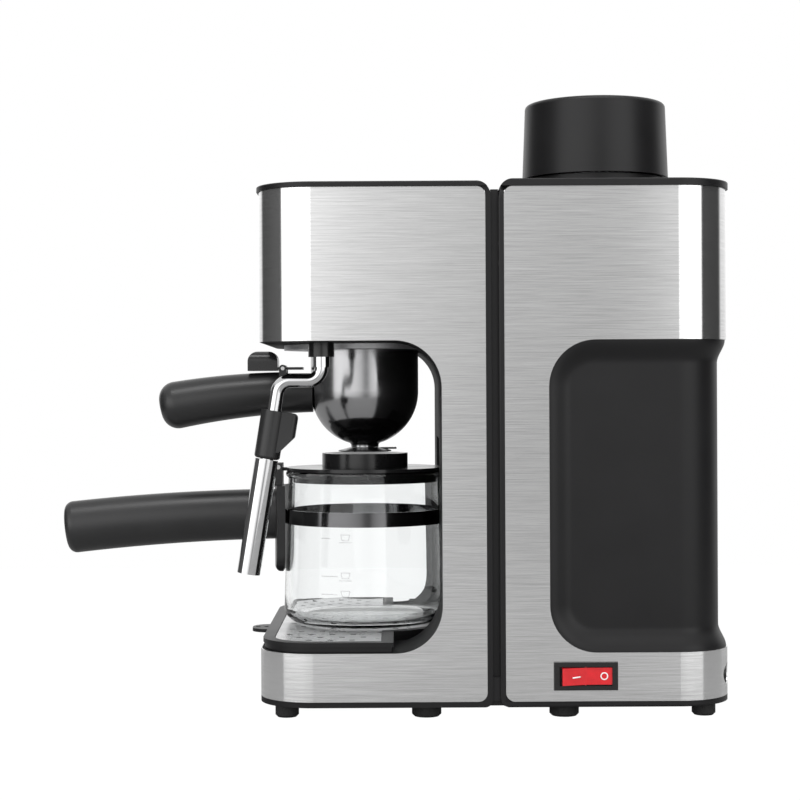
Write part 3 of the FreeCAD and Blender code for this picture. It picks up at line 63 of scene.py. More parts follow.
MM = 0.001
REAR_LOW, REAR_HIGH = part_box("rear_shell")
WRAP_LOW, WRAP_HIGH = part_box("rear_wrap")
JUG_LOW, JUG_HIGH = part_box("carafe_glass")
KNOB_LOW, KNOB_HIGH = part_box("steam_knob")
ROCKER_LOW, ROCKER_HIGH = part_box("switch_rocker")

# Light round the object, as (degrees to the right of the camera's side, level): a wide soft box on
# either side, a grey gap between them, a dark gap beyond each, and the pale backdrop
STUDIO_RING = (
    (-180, 1.0), (-142, 0.9), (-132, 0.08), (-70, 0.12), (-66, 2.2), (-51, 2.3), (-26, 2.1),
    (-15, 1.8), (-8, 1.5), (-4.5, 1.3), (-3, 1.14), (-2.1, 0.9), (3, 0.62), (7.6, 0.53), (8.6, 0.74),
    (9.6, 0.98), (12, 1.25), (16, 1.6), (24, 2.0), (57, 2.3), (61, 0.06), (112, 0.06), (121, 0.9),
    (180, 0.9),
)
STUDIO_PEAK = 2.3
# Level overhead, and the heights of a direction over which it takes over from the ring
STUDIO_TOP = 0.75
TOP_HEIGHTS = (0.35, 0.6)
# The light is weaker below the horizon and stronger above it: (height of the direction, share)
STUDIO_SLOPE = ((-0.18, 0.6), (0.14, 1.36))
# The floor's glow, its share in what the camera sees of the floor, and the part of it that mirrors show
FLOOR_GLOW = 1.06
FLOOR_SHARE = 0.95
FLOOR_MIRRORED = 0.2
# The lamp overhead: its width and depth, where it hangs and how far it leans
LAMP_SIZE = (1.4, 0.35)
LAMP_PLACE = (0, -0.55, 1.35)
LAMP_LEAN = math.radians(22)
SENSOR_WIDTH = 36.0
# The part of a noise texture's range over which a finish varies
NOISE_SPAN = (0.3, 0.7)


# Settings
def length(name, description, default):
    return FloatProperty(name=name, description=description, default=default, unit="LENGTH",
                         precision=5)


def colour(name, description, default):
    return FloatVectorProperty(name=name, description=description, default=default, subtype="COLOR",
                               size=3, min=0.0, max=1.0)


class CasingSizes(bpy.types.PropertyGroup):
    """Sizes of the rear casing and of the hems along the steel wraps."""
    corner_radius: length("Corner radius", "Radius of the body's upright corners", 28 * MM)
    bay_radius: length("Bay radius", "Radius of the bay's and the hollow's corners", 23.5 * MM)
    bay_back: length("Bay back", "Distance from the seam to the bay's back wall", 27 * MM)
    bay_floor: length("Bay floor", "Height of the bay's floor", 34 * MM)
    bay_ceiling: length("Bay ceiling", "Height of the bay's ceiling", 190.5 * MM)
    hollow_depth: length("Hollow depth", "How deep the rear hollow is sunk", 4.6 * MM)
    hollow_slope: length("Hollow slope", "Width of the smooth border of the rear hollow", 11.5 * MM)
    wrap_depth: length("Wrap depth", "How deep the casing is cut for the steel wrap", 0.6 * MM)
    frame_strip: length("Frame strip", "Width of the black strip beside the seam", 2.6 * MM)
    bottom_rim: length("Bottom rim", "Height of the black rim under the wrap", 2.7 * MM)
    wall: length("Wall", "Thickness of the casing", 2.2 * MM)
    seam_round: length("Seam round", "Radius of the casing's top corner at the seam", 7.5 * MM)
    base_round: length("Base round", "Radius of the casing's bottom corner at the seam", 4 * MM)
    cover_rise: length("Cover rise", "Height of the top cover's edge above the casing", 3.6 * MM)
    hem_radius: length("Hem radius", "Radius of the rolled edge of the steel wraps", 0.34 * MM)


class JugSizes(bpy.types.PropertyGroup):
    """Sizes of the glass jug."""
    wall: length("Wall", "Thickness of the glass", 2.2 * MM)
    base: length("Base", "Thickness of the glass under the coffee", 3.0 * MM)
    draft: length("Draft", "How much narrower the jug is under its lip than at its heel", 2.4 * MM)
    heel: length("Heel", "Height of the rounded heel", 8 * MM)
    lip: length("Lip", "Height of the lip", 4 * MM)
    segments: IntProperty(name="Segments", description="Steps round the jug", default=128, min=32)


class KnobSizes(bpy.types.PropertyGroup):
    """Sizes of the steam knob's grip."""
    flutes: IntProperty(name="Flutes", description="Flutes round the grip", default=30, min=8)
    flute_depth: length("Flute depth", "Depth of each flute", 0.45 * MM)
    edge: length("Edge", "Rounding of the outer edge", 2 * MM)
    pointer_rise: length("Pointer rise", "Height of the pointer on the knob's face", 2 * MM)


class SpringSizes(bpy.types.PropertyGroup):
    """Sizes of the relief valve's spring."""
    wire: length("Wire", "Radius of the wire", 0.5 * MM)
    turns: IntProperty(name="Turns", description="Turns of the coil", default=6, min=2)


class FinishColours(bpy.types.PropertyGroup):
    """Colours of the finishes."""
    steel: colour("Steel", "Brushed sheet", (0.66, 0.66, 0.66))
    casing: colour("Casing", "Satin black of the casing", (0.007, 0.0068, 0.0073))
    handle: colour("Handle", "Grained black of the handles", (0.015, 0.015, 0.0154))
    fitting: colour("Fitting", "Semi-gloss black of the small fittings", (0.011, 0.011, 0.0115))
    rubber: colour("Rubber", "Feet and gaskets", (0.02, 0.02, 0.02))
    dark_chrome: colour("Dark chrome", "Polished portafilter", (0.31, 0.31, 0.315))
    band: colour("Band", "Dark plated band of the jug", (0.105, 0.105, 0.108))
    bright_chrome: colour("Bright chrome", "Polished wand", (0.57, 0.57, 0.575))
    grid: colour("Grid", "Plated grid of the drip tray", (0.42, 0.42, 0.425))
    aluminium: colour("Aluminium", "Cast boiler and brew head", (0.62, 0.62, 0.63))
    plain_steel: colour("Plain steel", "Pipes, basket and screws", (0.55, 0.55, 0.55))
    rocker: colour("Rocker", "Red of the switch", (0.58, 0.006, 0.012))
    print_white: colour("Switch print", "Marks on the switch", (0.86, 0.84, 0.84))
    print_grey: colour("Jug print", "Frosted marks on the jug", (0.62, 0.62, 0.63))
    wire: colour("Wire", "Insulation of the wiring", (0.32, 0.17, 0.07))


class StageSettings(bpy.types.PropertyGroup):
    """Camera and light."""
    lens: FloatProperty(name="Lens", description="Focal length in millimetres", default=81.0)
    eye: FloatVectorProperty(name="Eye", description="Where the camera stands", size=3,
                             unit="LENGTH", default=(-47.75 * MM, -990 * MM, 164.8 * MM))
    tilt: FloatProperty(name="Tilt", description="How far the camera looks down", subtype="ANGLE",
                        default=math.radians(0.255))
    roll: FloatProperty(name="Roll", description="How far the camera leans", subtype="ANGLE",
                        default=math.radians(-0.3))
    floor_size: length("Floor size", "Width of the floor", 1.4)
    floor: colour("Floor colour", "Colour of the floor", (0.3, 0.3, 0.3))
    lamp_power: FloatProperty(name="Top lamp", description="Power of the lamp overhead in watts",
                              default=10.0)


class MachineSettings(bpy.types.PropertyGroup):
    """All settings of the machine."""
    casing: PointerProperty(type=CasingSizes)
    jug: PointerProperty(type=JugSizes)
    knob: PointerProperty(type=KnobSizes)
    spring: PointerProperty(type=SpringSizes)
    colours: PointerProperty(type=FinishColours)
    stage: PointerProperty(type=StageSettings)


def settings():
    return bpy.context.scene.espresso_machine


# Finishes
class Finish:
    """A surface finish: one shader, with helpers that wire textures into it."""

    def __init__(self, name):
        self.material = bpy.data.materials.new(name)
        self.material.use_nodes = True
        self.tree = self.material.node_tree
        self.shader = self.tree.nodes["Principled BSDF"]

    def node(self, kind, **values):
        node = self.tree.nodes.new(kind)
        for key, value in values.items():
            setattr(node, key, value)
        return node

    def join(self, start, end):
        self.tree.links.new(start, end)

    def set(self, **values):
        for key, value in values.items():
            socket = self.shader.inputs[key.replace("_", " ").title().replace("Ior", "IOR")]
            socket.default_value = (*value, 1.0) if hasattr(value, "__len__") else value
        return self

    def noise(self, scale, stretch=(1, 1, 1), detail=3.0, roughness=0.5):
        """Noise in the piece's own metres, stretched by a scale on each axis."""
        place = self.node("ShaderNodeTexCoord")
        mapping = self.node("ShaderNodeMapping")
        mapping.inputs["Scale"].default_value = stretch
        noise = self.node("ShaderNodeTexNoise")
        noise.inputs["Scale"].default_value = scale
        noise.inputs["Detail"].default_value = detail
        noise.inputs["Roughness"].default_value = roughness
        self.join(place.outputs["Object"], mapping.inputs["Vector"])
        self.join(mapping.outputs["Vector"], noise.inputs["Vector"])
        return noise.outputs["Fac"]

    def vary_colour(self, source, base, low, high):
        """Base colour made darker and lighter by a texture."""
        ramp = self.node("ShaderNodeValToRGB")
        for element, position, share in zip(ramp.color_ramp.elements, NOISE_SPAN, (low, high)):
            element.position = position
            element.color = (*[min(1, channel * share) for channel in base], 1)
        self.join(source, ramp.inputs["Fac"])
        self.join(ramp.outputs["Color"], self.shader.inputs["Base Color"])
        return self

    def vary_roughness(self, source, low, high):
        """Roughness that runs from low to high with a texture."""
        spread = self.node("ShaderNodeMapRange")
        for end, position, value in zip(("Min", "Max"), NOISE_SPAN, (low, high)):
            spread.inputs["From " + end].default_value = position
            spread.inputs["To " + end].default_value = value
        self.join(source, spread.inputs["Value"])
        self.join(spread.outputs["Result"], self.shader.inputs["Roughness"])
        return self

    def bump(self, source, strength, distance):
        bump = self.node("ShaderNodeBump")
        bump.inputs["Strength"].default_value = strength
        bump.inputs["Distance"].default_value = distance
        self.join(source, bump.inputs["Height"])
        self.join(bump.outputs["Normal"], self.shader.inputs["Normal"])
        return self


FINISHES = {}


def finish(name):
    """The named finish, made on first use."""
    if name not in FINISHES:
        FINISHES[name] = FINISH_MAKERS[name](name).material
    return FINISHES[name]


def brushed_steel(name):
    """Sheet brushed along its run, so highlights spread up and down only."""
    made = Finish(name).set(metallic=1.0, anisotropic=1.0, anisotropic_rotation=0.25)
    grain = made.noise(1.0, (36, 36, 3000), detail=5, roughness=0.75)
    made.vary_colour(grain, settings().colours.steel, 0.79, 1.17)
    made.vary_roughness(grain, 0.15, 0.19)
    tangent = made.node("ShaderNodeTangent", direction_type="RADIAL", axis="Z")
    made.join(tangent.outputs["Tangent"], made.shader.inputs["Tangent"])
    return made


def satin_black(name, base, rough, grain, depth, gloss=0.24):
    """Moulded black plastic: lowest and highest roughness, and scale and depth of its fine grain."""
    made = Finish(name).set(ior=1.49, specular_ior_level=gloss)
    bumps = made.noise(grain, detail=3, roughness=0.6)
    cloud = made.noise(38.0, detail=4)
    made.vary_colour(cloud, base, 0.88, 1.14)
    made.vary_roughness(cloud, *rough)
    return made.bump(bumps, 0.35, depth)


def casing_black(name):
    base = settings().colours.casing
    return satin_black(name, base, rough=(0.40, 0.44), grain=1500.0, depth=0.00003)


def bay_black(name):
    """Coarser moulding of the front shell, which lines the bay."""
    base = settings().colours.casing
    return satin_black(name, base, rough=(0.62, 0.72), grain=1200.0, depth=0.00010)


def cap_black(name):
    base = settings().colours.casing
    return satin_black(name, base, rough=(0.36, 0.40), grain=1100.0, depth=0.00002)


def handle_black(name):
    base = settings().colours.handle
    return satin_black(name, base, rough=(0.30, 0.38), grain=900.0, depth=0.00005, gloss=0.38)


def fitting_black(name):
    base = settings().colours.fitting
    return satin_black(name, base, rough=(0.18, 0.27), grain=700.0, depth=0.00001, gloss=0.4)


def rubber(name):
    base = settings().colours.rubber
    return satin_black(name, base, rough=(0.72, 0.85), grain=1200.0, depth=0.00008, gloss=0.3)


def polished(name, base, rough):
    """Polished plate with faint smears and wiping marks: lowest and highest roughness."""
    made = Finish(name).set(metallic=1.0)
    smear = made.noise(1.0, (60, 60, 140), detail=4, roughness=0.65)
    made.vary_colour(smear, base, 0.95, 1.03)
    made.vary_roughness(smear, *rough)
    return made.bump(made.noise(420.0, detail=2), 0.05, 0.00002)


def dark_chrome(name):
    return polished(name, settings().colours.dark_chrome, rough=(0.12, 0.24))


def dark_band(name):
    return polished(name, settings().colours.band, rough=(0.10, 0.16))


def grid_chrome(name):
    """Plated sheet, duller than the wand."""
    return polished(name, settings().colours.grid, rough=(0.24, 0.34))


def bright_chrome(name):
    return polished(name, settings().colours.bright_chrome, rough=(0.05, 0.10))


def drawn_steel(name):
    """Plain drawn steel with fine streaks."""
    made = Finish(name).set(metallic=1.0)
    streak = made.noise(1.0, (90, 90, 700), detail=4)
    made.vary_colour(streak, settings().colours.plain_steel, 0.85, 1.1)
    made.vary_roughness(streak, 0.25, 0.38)
    return made.bump(streak, 0.1, 0.00003)


def cast_aluminium(name):
    """Cast metal with a pebbled skin."""
    made = Finish(name).set(metallic=1.0)
    skin = made.noise(620.0, detail=5, roughness=0.65)
    made.vary_colour(skin, settings().colours.aluminium, 0.82, 1.08)
    made.vary_roughness(skin, 0.42, 0.6)
    return made.bump(skin, 0.4, 0.00012)


def clear_glass(name):
    """Clear glass, faintly wavy."""
    made = Finish(name).set(transmission_weight=1.0, ior=1.38, base_color=(0.97, 0.98, 0.98))
    wave = made.noise(34.0, detail=2)
    made.vary_roughness(wave, 0.0, 0.012)
    return made.bump(wave, 0.06, 0.0004)


def rocker_red(name):
    """Clear-tinted red plastic."""
    made = Finish(name).set(ior=1.5, coat_weight=0.4, coat_roughness=0.08)
    cloud = made.noise(160.0, detail=3)
    made.vary_colour(cloud, settings().colours.rocker, 0.9, 1.12)
    made.vary_roughness(cloud, 0.16, 0.24)
    return made.bump(made.noise(900.0), 0.1, 0.00002)


def printed(name, base):
    """Printed paint with a slightly uneven film."""
    made = Finish(name)
    film = made.noise(900.0, detail=3)
    made.vary_colour(film, base, 0.92, 1.05)
    return made.vary_roughness(film, 0.45, 0.6)


def switch_print(name):
    return printed(name, settings().colours.print_white)


def jug_print(name):
    return printed(name, settings().colours.print_grey)


def wire_cover(name):
    made = Finish(name)
    cloud = made.noise(300.0, detail=3)
    made.vary_colour(cloud, settings().colours.wire, 0.85, 1.15)
    return made.vary_roughness(cloud, 0.3, 0.42)


FINISH_MAKERS = {maker.__name__: maker for maker in (
    brushed_steel, casing_black, bay_black, cap_black, handle_black, fitting_black, rubber, dark_chrome,
    dark_band, grid_chrome, bright_chrome, drawn_steel, cast_aluminium, clear_glass, rocker_red,
    switch_print, jug_print, wire_cover)}


def dress(name, *nodes):
    """Give CAD nodes a finish."""
    for node in nodes:
        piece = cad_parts[node]
        if not piece.material_slots:
            piece.data.materials.append(finish(name))
        for slot in piece.material_slots:
            slot.material = finish(name)


# Mesh helpers
# Points nearer than this are one point, and a direction shorter than this is none
ONE_POINT, NO_LENGTH = 1e-7, 1e-6


def add_piece(name, points, faces, finish_name, body, sharp=35.0):
    """A mesh piece with a finish, which rides on a body if one is named."""
    mesh = bpy.data.meshes.new(name)
    mesh.from_pydata([tuple(point) for point in points], [], faces)
    work = bmesh.new()
    work.from_mesh(mesh)
    bmesh.ops.remove_doubles(work, verts=work.verts, dist=ONE_POINT)
    bmesh.ops.recalc_face_normals(work, faces=work.faces)
    work.to_mesh(mesh)
    work.free()
    mesh.shade_smooth()
    mesh.set_sharp_from_angle(angle=math.radians(sharp))
    mesh.materials.append(finish(finish_name))
    piece = bpy.data.objects.new(name, mesh)
    bpy.context.scene.collection.objects.link(piece)
    if body:
        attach(piece, body)
    return piece


def grid_faces(rows, columns, close_rows=False, close_columns=False):
    """Faces of a grid of points, numbered row by row."""
    faces = []
    for row in range(rows if close_rows else rows - 1):
        for column in range(columns if close_columns else columns - 1):
            after, beside = (row + 1) % rows, (column + 1) % columns
            faces.append((row * columns + column, row * columns + beside,
                          after * columns + beside, after * columns + column))
    return faces


def smooth_step(share):
    share = min(1.0, max(0.0, share))
    return share * share * (3 - 2 * share)


def steps(start, end, count):
    return [start + (end - start) * index / count for index in range(count + 1)]


def sweep(path, radius, closed, sides=10):
    """Round bar along a path: points and faces."""
    count = len(path)
    points = []
    normal = Vector((0, 0, 1))
    for index, point in enumerate(path):
        before = path[(index - 1) % count] if closed or index else point
        after = path[(index + 1) % count] if closed or index < count - 1 else point
        along = (after - before).normalized()
        normal = normal - along * normal.dot(along)
        if normal.length < NO_LENGTH:
            normal = along.orthogonal()
        normal.normalize()
        side = along.cross(normal)
        for turn in range(sides):
            angle = 2 * math.pi * turn / sides
            points.append(point + (normal * math.cos(angle) + side * math.sin(angle)) * radius)
    faces = grid_faces(count, sides, closed, True)
    if not closed:
        faces += [tuple(range(sides)), tuple((count - 1) * sides + turn for turn in range(sides))]
    return points, faces


def quarter_turn(centre, start, end, count):
    """Points that turn about a centre from one direction to the one square to it."""
    return [centre + start * math.cos(angle) + end * math.sin(angle)
            for angle in steps(0, math.pi / 2, count)]


# Rear casing
# Mesh steps round a corner, across the back, on a narrow strip and on a short run beside the hollow
CORNER_STEPS, BACK_STEPS, STRIP_STEPS, RUN_STEPS = 24, 40, 3, 6
# Mesh steps along a side: on the hollow's border, and on the rest
SIDE_BORDER_STEPS, SIDE_REST_STEPS = 34, 10
# Mesh steps up the casing: on the hollow's border, between its two borders, and above it
BORDER_STEPS, MIDDLE_STEPS, TOP_STEPS = 30, 16, 14
# Width of the crease where the casing steps down for the wrap, slack at it, and margin of the border
CREASE, CREASE_SLACK, BORDER_MARGIN = 0.06 * MM, 0.01 * MM, 0.3 * MM
TINY = 1e-9


def half_plan(sizes, inset):
    """Rear half of the body's plan seen from above, from the near seam round to the far seam, as a list
    of (point, outward direction)."""
    half, back = REAR_HIGH.y, REAR_HIGH.x
    radius = sizes.corner_radius
    straight = back - radius
    plan = [(Vector((x, -half, 0)), Vector((0, -1, 0)))
            for x in side_stations(sizes, REAR_LOW.x, straight)]
    for angle in steps(0, math.pi / 2, CORNER_STEPS)[1:]:
        out = Vector((math.sin(angle), -math.cos(angle), 0))
        plan.append((Vector((straight, -half + radius, 0)) + out * radius, out))
    for y in steps(-half + radius, half - radius, BACK_STEPS)[1:-1]:
        plan.append((Vector((back, y, 0)), Vector((1, 0, 0))))
    near = [(point, out) for point, out in plan if point.y < -half + radius + TINY]
    for point, out in reversed(near):
        plan.append((Vector((point.x, -point.y, 0)), Vector((out.x, -out.y, 0))))
    return [(point - out * inset, out) for point, out in plan]


def side_stations(sizes, start, end):
    """Where the rear casing's mesh has its upright lines along one side."""
    strip_end = start + sizes.frame_strip
    border_end = sizes.bay_back + sizes.hollow_slope + sizes.bay_radius
    stations = steps(start, strip_end, STRIP_STEPS) + [strip_end + CREASE]
    stations += steps(strip_end + 1.5 * MM, sizes.bay_back - 1 * MM, RUN_STEPS)
    stations += steps(sizes.bay_back - BORDER_MARGIN, border_end, SIDE_BORDER_STEPS)
    return stations + steps(border_end + 2 * MM, end, SIDE_REST_STEPS)


def hollow_distance(sizes, x, z):
    """How far inside the rear hollow's outline a point lies in side view."""
    radius = sizes.bay_radius
    middle = (sizes.bay_floor + sizes.bay_ceiling) / 2
    reach = (sizes.bay_ceiling - sizes.bay_floor) / 2
    across = sizes.bay_back + radius - x
    up = abs(z - middle) - reach + radius
    outside = math.hypot(max(across, 0), max(up, 0))
    return radius - outside - min(max(across, up), 0)


class ESPRESSO_OT_rear_casing(bpy.types.Operator):
    """Make the rear casing, with the smooth border of its hollow"""
    bl_idname = "espresso.rear_casing"
    bl_label = "Rear casing"

    def execute(self, context):
        sizes = settings().casing
        low, high = REAR_LOW.z, WRAP_HIGH.z
        rim = low + sizes.bottom_rim
        edge = sizes.hollow_slope + sizes.bay_radius
        floor, ceiling = sizes.bay_floor, sizes.bay_ceiling
        heights = steps(low, rim, STRIP_STEPS) + [rim + CREASE]
        heights += steps(rim + 2 * MM, floor - 1 * MM, RUN_STEPS)
        heights += steps(floor - BORDER_MARGIN, floor + edge, BORDER_STEPS)
        heights += steps(floor + edge + 2 * MM, ceiling - edge - 2 * MM, MIDDLE_STEPS)
        heights += steps(ceiling - edge, ceiling + BORDER_MARGIN, BORDER_STEPS)
        heights += steps(ceiling + 1 * MM, high, TOP_STEPS)
        plan = half_plan(sizes, 0)
        strip_end = REAR_LOW.x + sizes.frame_strip
        points = []
        for z in heights:
            seam_x = REAR_LOW.x + self.seam_setback(sizes, z, low)
            for point, out in plan:
                inset = 0.0
                if point.x > strip_end + CREASE_SLACK and z > rim + CREASE_SLACK:
                    inset = sizes.wrap_depth
                depth = hollow_distance(sizes, point.x, z)
                if depth > 0:
                    inset += (sizes.hollow_depth - inset) * smooth_step(depth / sizes.hollow_slope)
                place = point - out * inset
                place.x = max(place.x, seam_x)
                points.append((place.x, place.y, z))
        faces = grid_faces(len(heights), len(plan))
        piece = add_piece("rear_casing", points, faces, "casing_black", "machine")
        thicken(piece, sizes.wall)
        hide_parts("rear_shell")
        return {"FINISHED"}

    def seam_setback(self, sizes, z, low):
        """How far the rounded top and bottom corners draw back from the seam."""
        crown = REAR_HIGH.z + sizes.cover_rise
        above = z - (crown - sizes.seam_round)
        below = low + sizes.base_round - z
        for radius, reach in ((sizes.seam_round, above), (sizes.base_round, below)):
            if reach > 0:
                return radius - math.sqrt(max(0, radius ** 2 - reach ** 2))
        return 0.0


def thicken(piece, thickness):
    """Give a sheet its thickness on the inside."""
    solid = piece.modifiers.new("Thickness", "SOLIDIFY")
    solid.thickness = thickness
    solid.offset = -1


# Hems along the steel wraps
# Gap between a hem and the edge, rounding of its lower corners, and gap at its upper ends
HEM_GAP, HEM_CORNER, HEM_TOP_GAP = 0.15 * MM, 4.5 * MM, 2 * MM
BAY_HEM_STEPS, HEM_CORNER_STEPS = 14, 8


class ESPRESSO_OT_wrap_hems(bpy.types.Operator):
    """Make the rolled edges of the two steel wraps"""
    bl_idname = "espresso.wrap_hems"
    bl_label = "Wrap hems"

    def execute(self, context):
        for name, side in (("front", -1), ("rear", 1)):
            self.bay_hem(name + "_bay_hem", side)
            self.outer_hem(name + "_outer_hem", side)
        return {"FINISHED"}

    def bay_hem(self, name, side):
        """Closed loop round the edge of the bay or of the rear hollow."""
        sizes = settings().casing
        inset = sizes.hem_radius
        gap = inset + HEM_GAP
        low, high = sizes.bay_floor - gap, sizes.bay_ceiling + gap
        radius = sizes.bay_radius + gap
        inner = sizes.bay_back - gap
        half = REAR_HIGH.y - inset
        column = quarter_turn(Vector((inner + radius, 0, low + radius)), Vector((0, 0, -radius)),
                              Vector((-radius, 0, 0)), BAY_HEM_STEPS)
        column += quarter_turn(Vector((inner + radius, 0, high - radius)), Vector((-radius, 0, 0)),
                               Vector((0, 0, radius)), BAY_HEM_STEPS)
        around = [point for point, out in half_plan(sizes, inset) if point.x > inner + radius]
        path = [Vector((point.x, -half, point.z)) for point in column]
        path += [Vector((point.x, point.y, high)) for point in around]
        path += [Vector((point.x, half, point.z)) for point in reversed(column)]
        path += [Vector((point.x, point.y, low)) for point in reversed(around)]
        self.bar(name, path, side, True)

    def outer_hem(self, name, side):
        """Open path down the seam, along the bottom and up the other side."""
        sizes = settings().casing
        inset = sizes.hem_radius
        corner = HEM_CORNER
        start = REAR_LOW.x + sizes.frame_strip + (inset + HEM_GAP)
        low, high = WRAP_LOW.z + inset, WRAP_HIGH.z - HEM_TOP_GAP
        half = REAR_HIGH.y - inset
        down = [Vector((start, 0, high)), Vector((start, 0, (high + low) / 2))]
        down += quarter_turn(Vector((start + corner, 0, low + corner)), Vector((-corner, 0, 0)),
                             Vector((0, 0, -corner)), HEM_CORNER_STEPS)
        around = [point for point, out in half_plan(sizes, inset)
                  if point.x > start + corner + 1 * MM]
        path = [Vector((point.x, -half, point.z)) for point in down]
        path += [Vector((point.x, point.y, low)) for point in around]
        path += [Vector((point.x, half, point.z)) for point in reversed(down)]
        self.bar(name, path, side, False)

    def bar(self, name, path, side, closed):
        """Round bar along a path on the rear half, or mirrored to the front half by a side of -1."""
        path = [Vector((point.x * side, point.y, point.z)) for point in path]
        points, faces = sweep(path, settings().casing.hem_radius, closed)
        add_piece(name, points, faces, "bright_chrome", "machine", sharp=60)


# Steam knob
# Mesh steps on a flute, along the grip, round its outer edge and round an end of the pointer
FLUTE_STEPS, GRIP_STEPS, EDGE_STEPS, POINTER_STEPS = 6, 4, 5, 10
# Angle at which the rounded edge starts
EDGE_START = 0.3
# Shares of the knob's radius: its bore, and the edge and the floor of the dish in its face
KNOB_BORE, DISH_EDGE, DISH_FLOOR = 0.22, 0.72, 0.70
DISH_DEPTH = 0.5 * MM
# The pointer's half width, its distance from the knob's edge, and how deep it is rooted in the face
POINTER_HALF, POINTER_MARGIN, POINTER_ROOT = 2 * MM, 4 * MM, 0.6 * MM
# Upper rings of the pointer, as (share of its rise, share of its width)
POINTER_TOP = ((0.7, 1.0), (1.0, 0.8))


class ESPRESSO_OT_steam_knob(bpy.types.Operator):
    """Make the fluted steam knob"""
    bl_idname = "espresso.steam_knob"
    bl_label = "Steam knob"

    def execute(self, context):
        sizes = settings().knob
        axis_x, axis_z = (KNOB_LOW.x + KNOB_HIGH.x) / 2, (KNOB_LOW.z + KNOB_HIGH.z) / 2
        radius = (KNOB_HIGH.x - KNOB_LOW.x) / 2
        inner, face = KNOB_LOW.y, KNOB_HIGH.y - sizes.pointer_rise
        edge = sizes.edge
        profile = [(KNOB_BORE * radius, inner), (radius - edge / 2, inner), (radius, inner + edge / 2)]
        profile += [(radius, y) for y in steps(inner + edge, face - edge, GRIP_STEPS)]
        profile += [(radius - edge * (1 - math.cos(angle)), face - edge * (1 - math.sin(angle)))
                    for angle in steps(EDGE_START, math.pi / 2, EDGE_STEPS)]
        profile += [(radius * DISH_EDGE, face), (radius * DISH_FLOOR, face - DISH_DEPTH),
                    (0.0, face - DISH_DEPTH)]
        count = sizes.flutes * FLUTE_STEPS
        points = []
        for reach, y in profile:
            grip = inner + edge / 4 < y < face - edge / 3 and reach > radius - edge
            for turn in range(count):
                angle = 2 * math.pi * turn / count
                sunk = sizes.flute_depth * (0.5 - 0.5 * math.cos(sizes.flutes * angle)) if grip else 0
                points.append((axis_x + (reach - sunk) * math.cos(angle), y,
                               axis_z + (reach - sunk) * math.sin(angle)))
        faces = grid_faces(len(profile), count, False, True)
        faces.append(tuple(range(count)))
        knob = add_piece("steam_knob_grip", points, faces, "cap_black", "knob",
                         sharp=50)
        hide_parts("steam_knob")
        self.pointer(axis_x, axis_z, radius, face)
        return {"FINISHED"}

    def pointer(self, axis_x, axis_z, radius, face):
        """Raised bar across the knob's face."""
        sizes = settings().knob
        outline = []
        half, reach = POINTER_HALF, radius - POINTER_MARGIN
        for centre, start in ((reach - half, 0), (-reach + half, math.pi)):
            for angle in steps(start, start + math.pi, POINTER_STEPS):
                outline.append((half * math.cos(angle), centre + half * math.sin(angle)))
        rings = [(face - POINTER_ROOT, 1.0)]
        rings += [(face + sizes.pointer_rise * rise, share) for rise, share in POINTER_TOP]
        points = []
        for y, share in rings:
            points += [(axis_x + x * share, y, axis_z + z * (share + 1) / 2) for x, z in outline]
        faces = grid_faces(len(rings), len(outline), False, True)
        faces.append(tuple(2 * len(outline) + index for index in range(len(outline))))
        faces.append(tuple(range(len(outline))))
        add_piece("steam_knob_pointer", points, faces, "fitting_black", "knob")


# Relief spring
COIL_STEPS = 24


class ESPRESSO_OT_relief_spring(bpy.types.Operator):
    """Make the relief valve's spring as a fixed coil"""
    bl_idname = "espresso.relief_spring"
    bl_label = "Relief spring"

    def execute(self, context):
        sizes = settings().spring
        low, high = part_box("relief_spring")
        middle = (low + high) / 2
        radius = (high.x - low.x) / 2 - sizes.wire
        path = []
        for share in steps(0, 1, sizes.turns * COIL_STEPS):
            angle = 2 * math.pi * sizes.turns * share
            height = low.z + sizes.wire + (high.z - low.z - 2 * sizes.wire) * share
            path.append(Vector((middle.x + radius * math.cos(angle),
                                middle.y + radius * math.sin(angle), height)))
        points, faces = sweep(path, sizes.wire, False)
        coil = add_piece("relief_coil", points, faces, "drawn_steel", None, sharp=60)
        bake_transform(coil)
        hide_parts("relief_spring")
        return {"FINISHED"}


# Jug
WALL_STEPS, HEEL_STEPS = 10, 8
# Hollow under the jug, and floor inside it: rise in the middle, and (inset from the side, rise) near
# the heel
PUNT_RISE, PUNT_EDGE = 0.8 * MM, (12 * MM, 0.5 * MM)
FLOOR_RISE, FLOOR_EDGE = 0.4 * MM, (14 * MM, 0.1 * MM)
# The lip's outside and inside, as (reach beyond the neck, drop below the top) in millimetres
LIP_OUTSIDE = ((0.2, 3.4), (0.9, 2.8), (1.2, 2.1), (1.2, 1.2), (0.9, 0.4), (0.2, 0.0))
LIP_INSIDE = ((-0.4, 0.0), (-0.9, 0.4), (-1.4, 1.6))
# Printed marks, as (height above the jug's foot in millimetres, share of the full dash)
FILL_MARKS = ((48.1, 0.55), (28.1, 1.0), (18.6, 1.0))
DASH_LEFT, DASH_LENGTH, DASH_WIDTH = -22.6 * MM, 8.6 * MM, 0.35 * MM
# The cup's place beside and below its dash, its size and line, and the drop of its saucer
CUP_GAP, CUP_DROP = 4.2 * MM, 1.0 * MM
CUP_HALF, CUP_HEIGHT, CUP_LINE, SAUCER_DROP = 2.4 * MM, 3.0 * MM, 0.3 * MM, 1.1 * MM
# Shares of the cup's half width
CUP_FOOT, SAUCER = 0.7, 1.4
# Print: gap between the film and what it is printed on, and thickness of the film
PRINT_LIFT, FILM = 0.02 * MM, 0.05 * MM


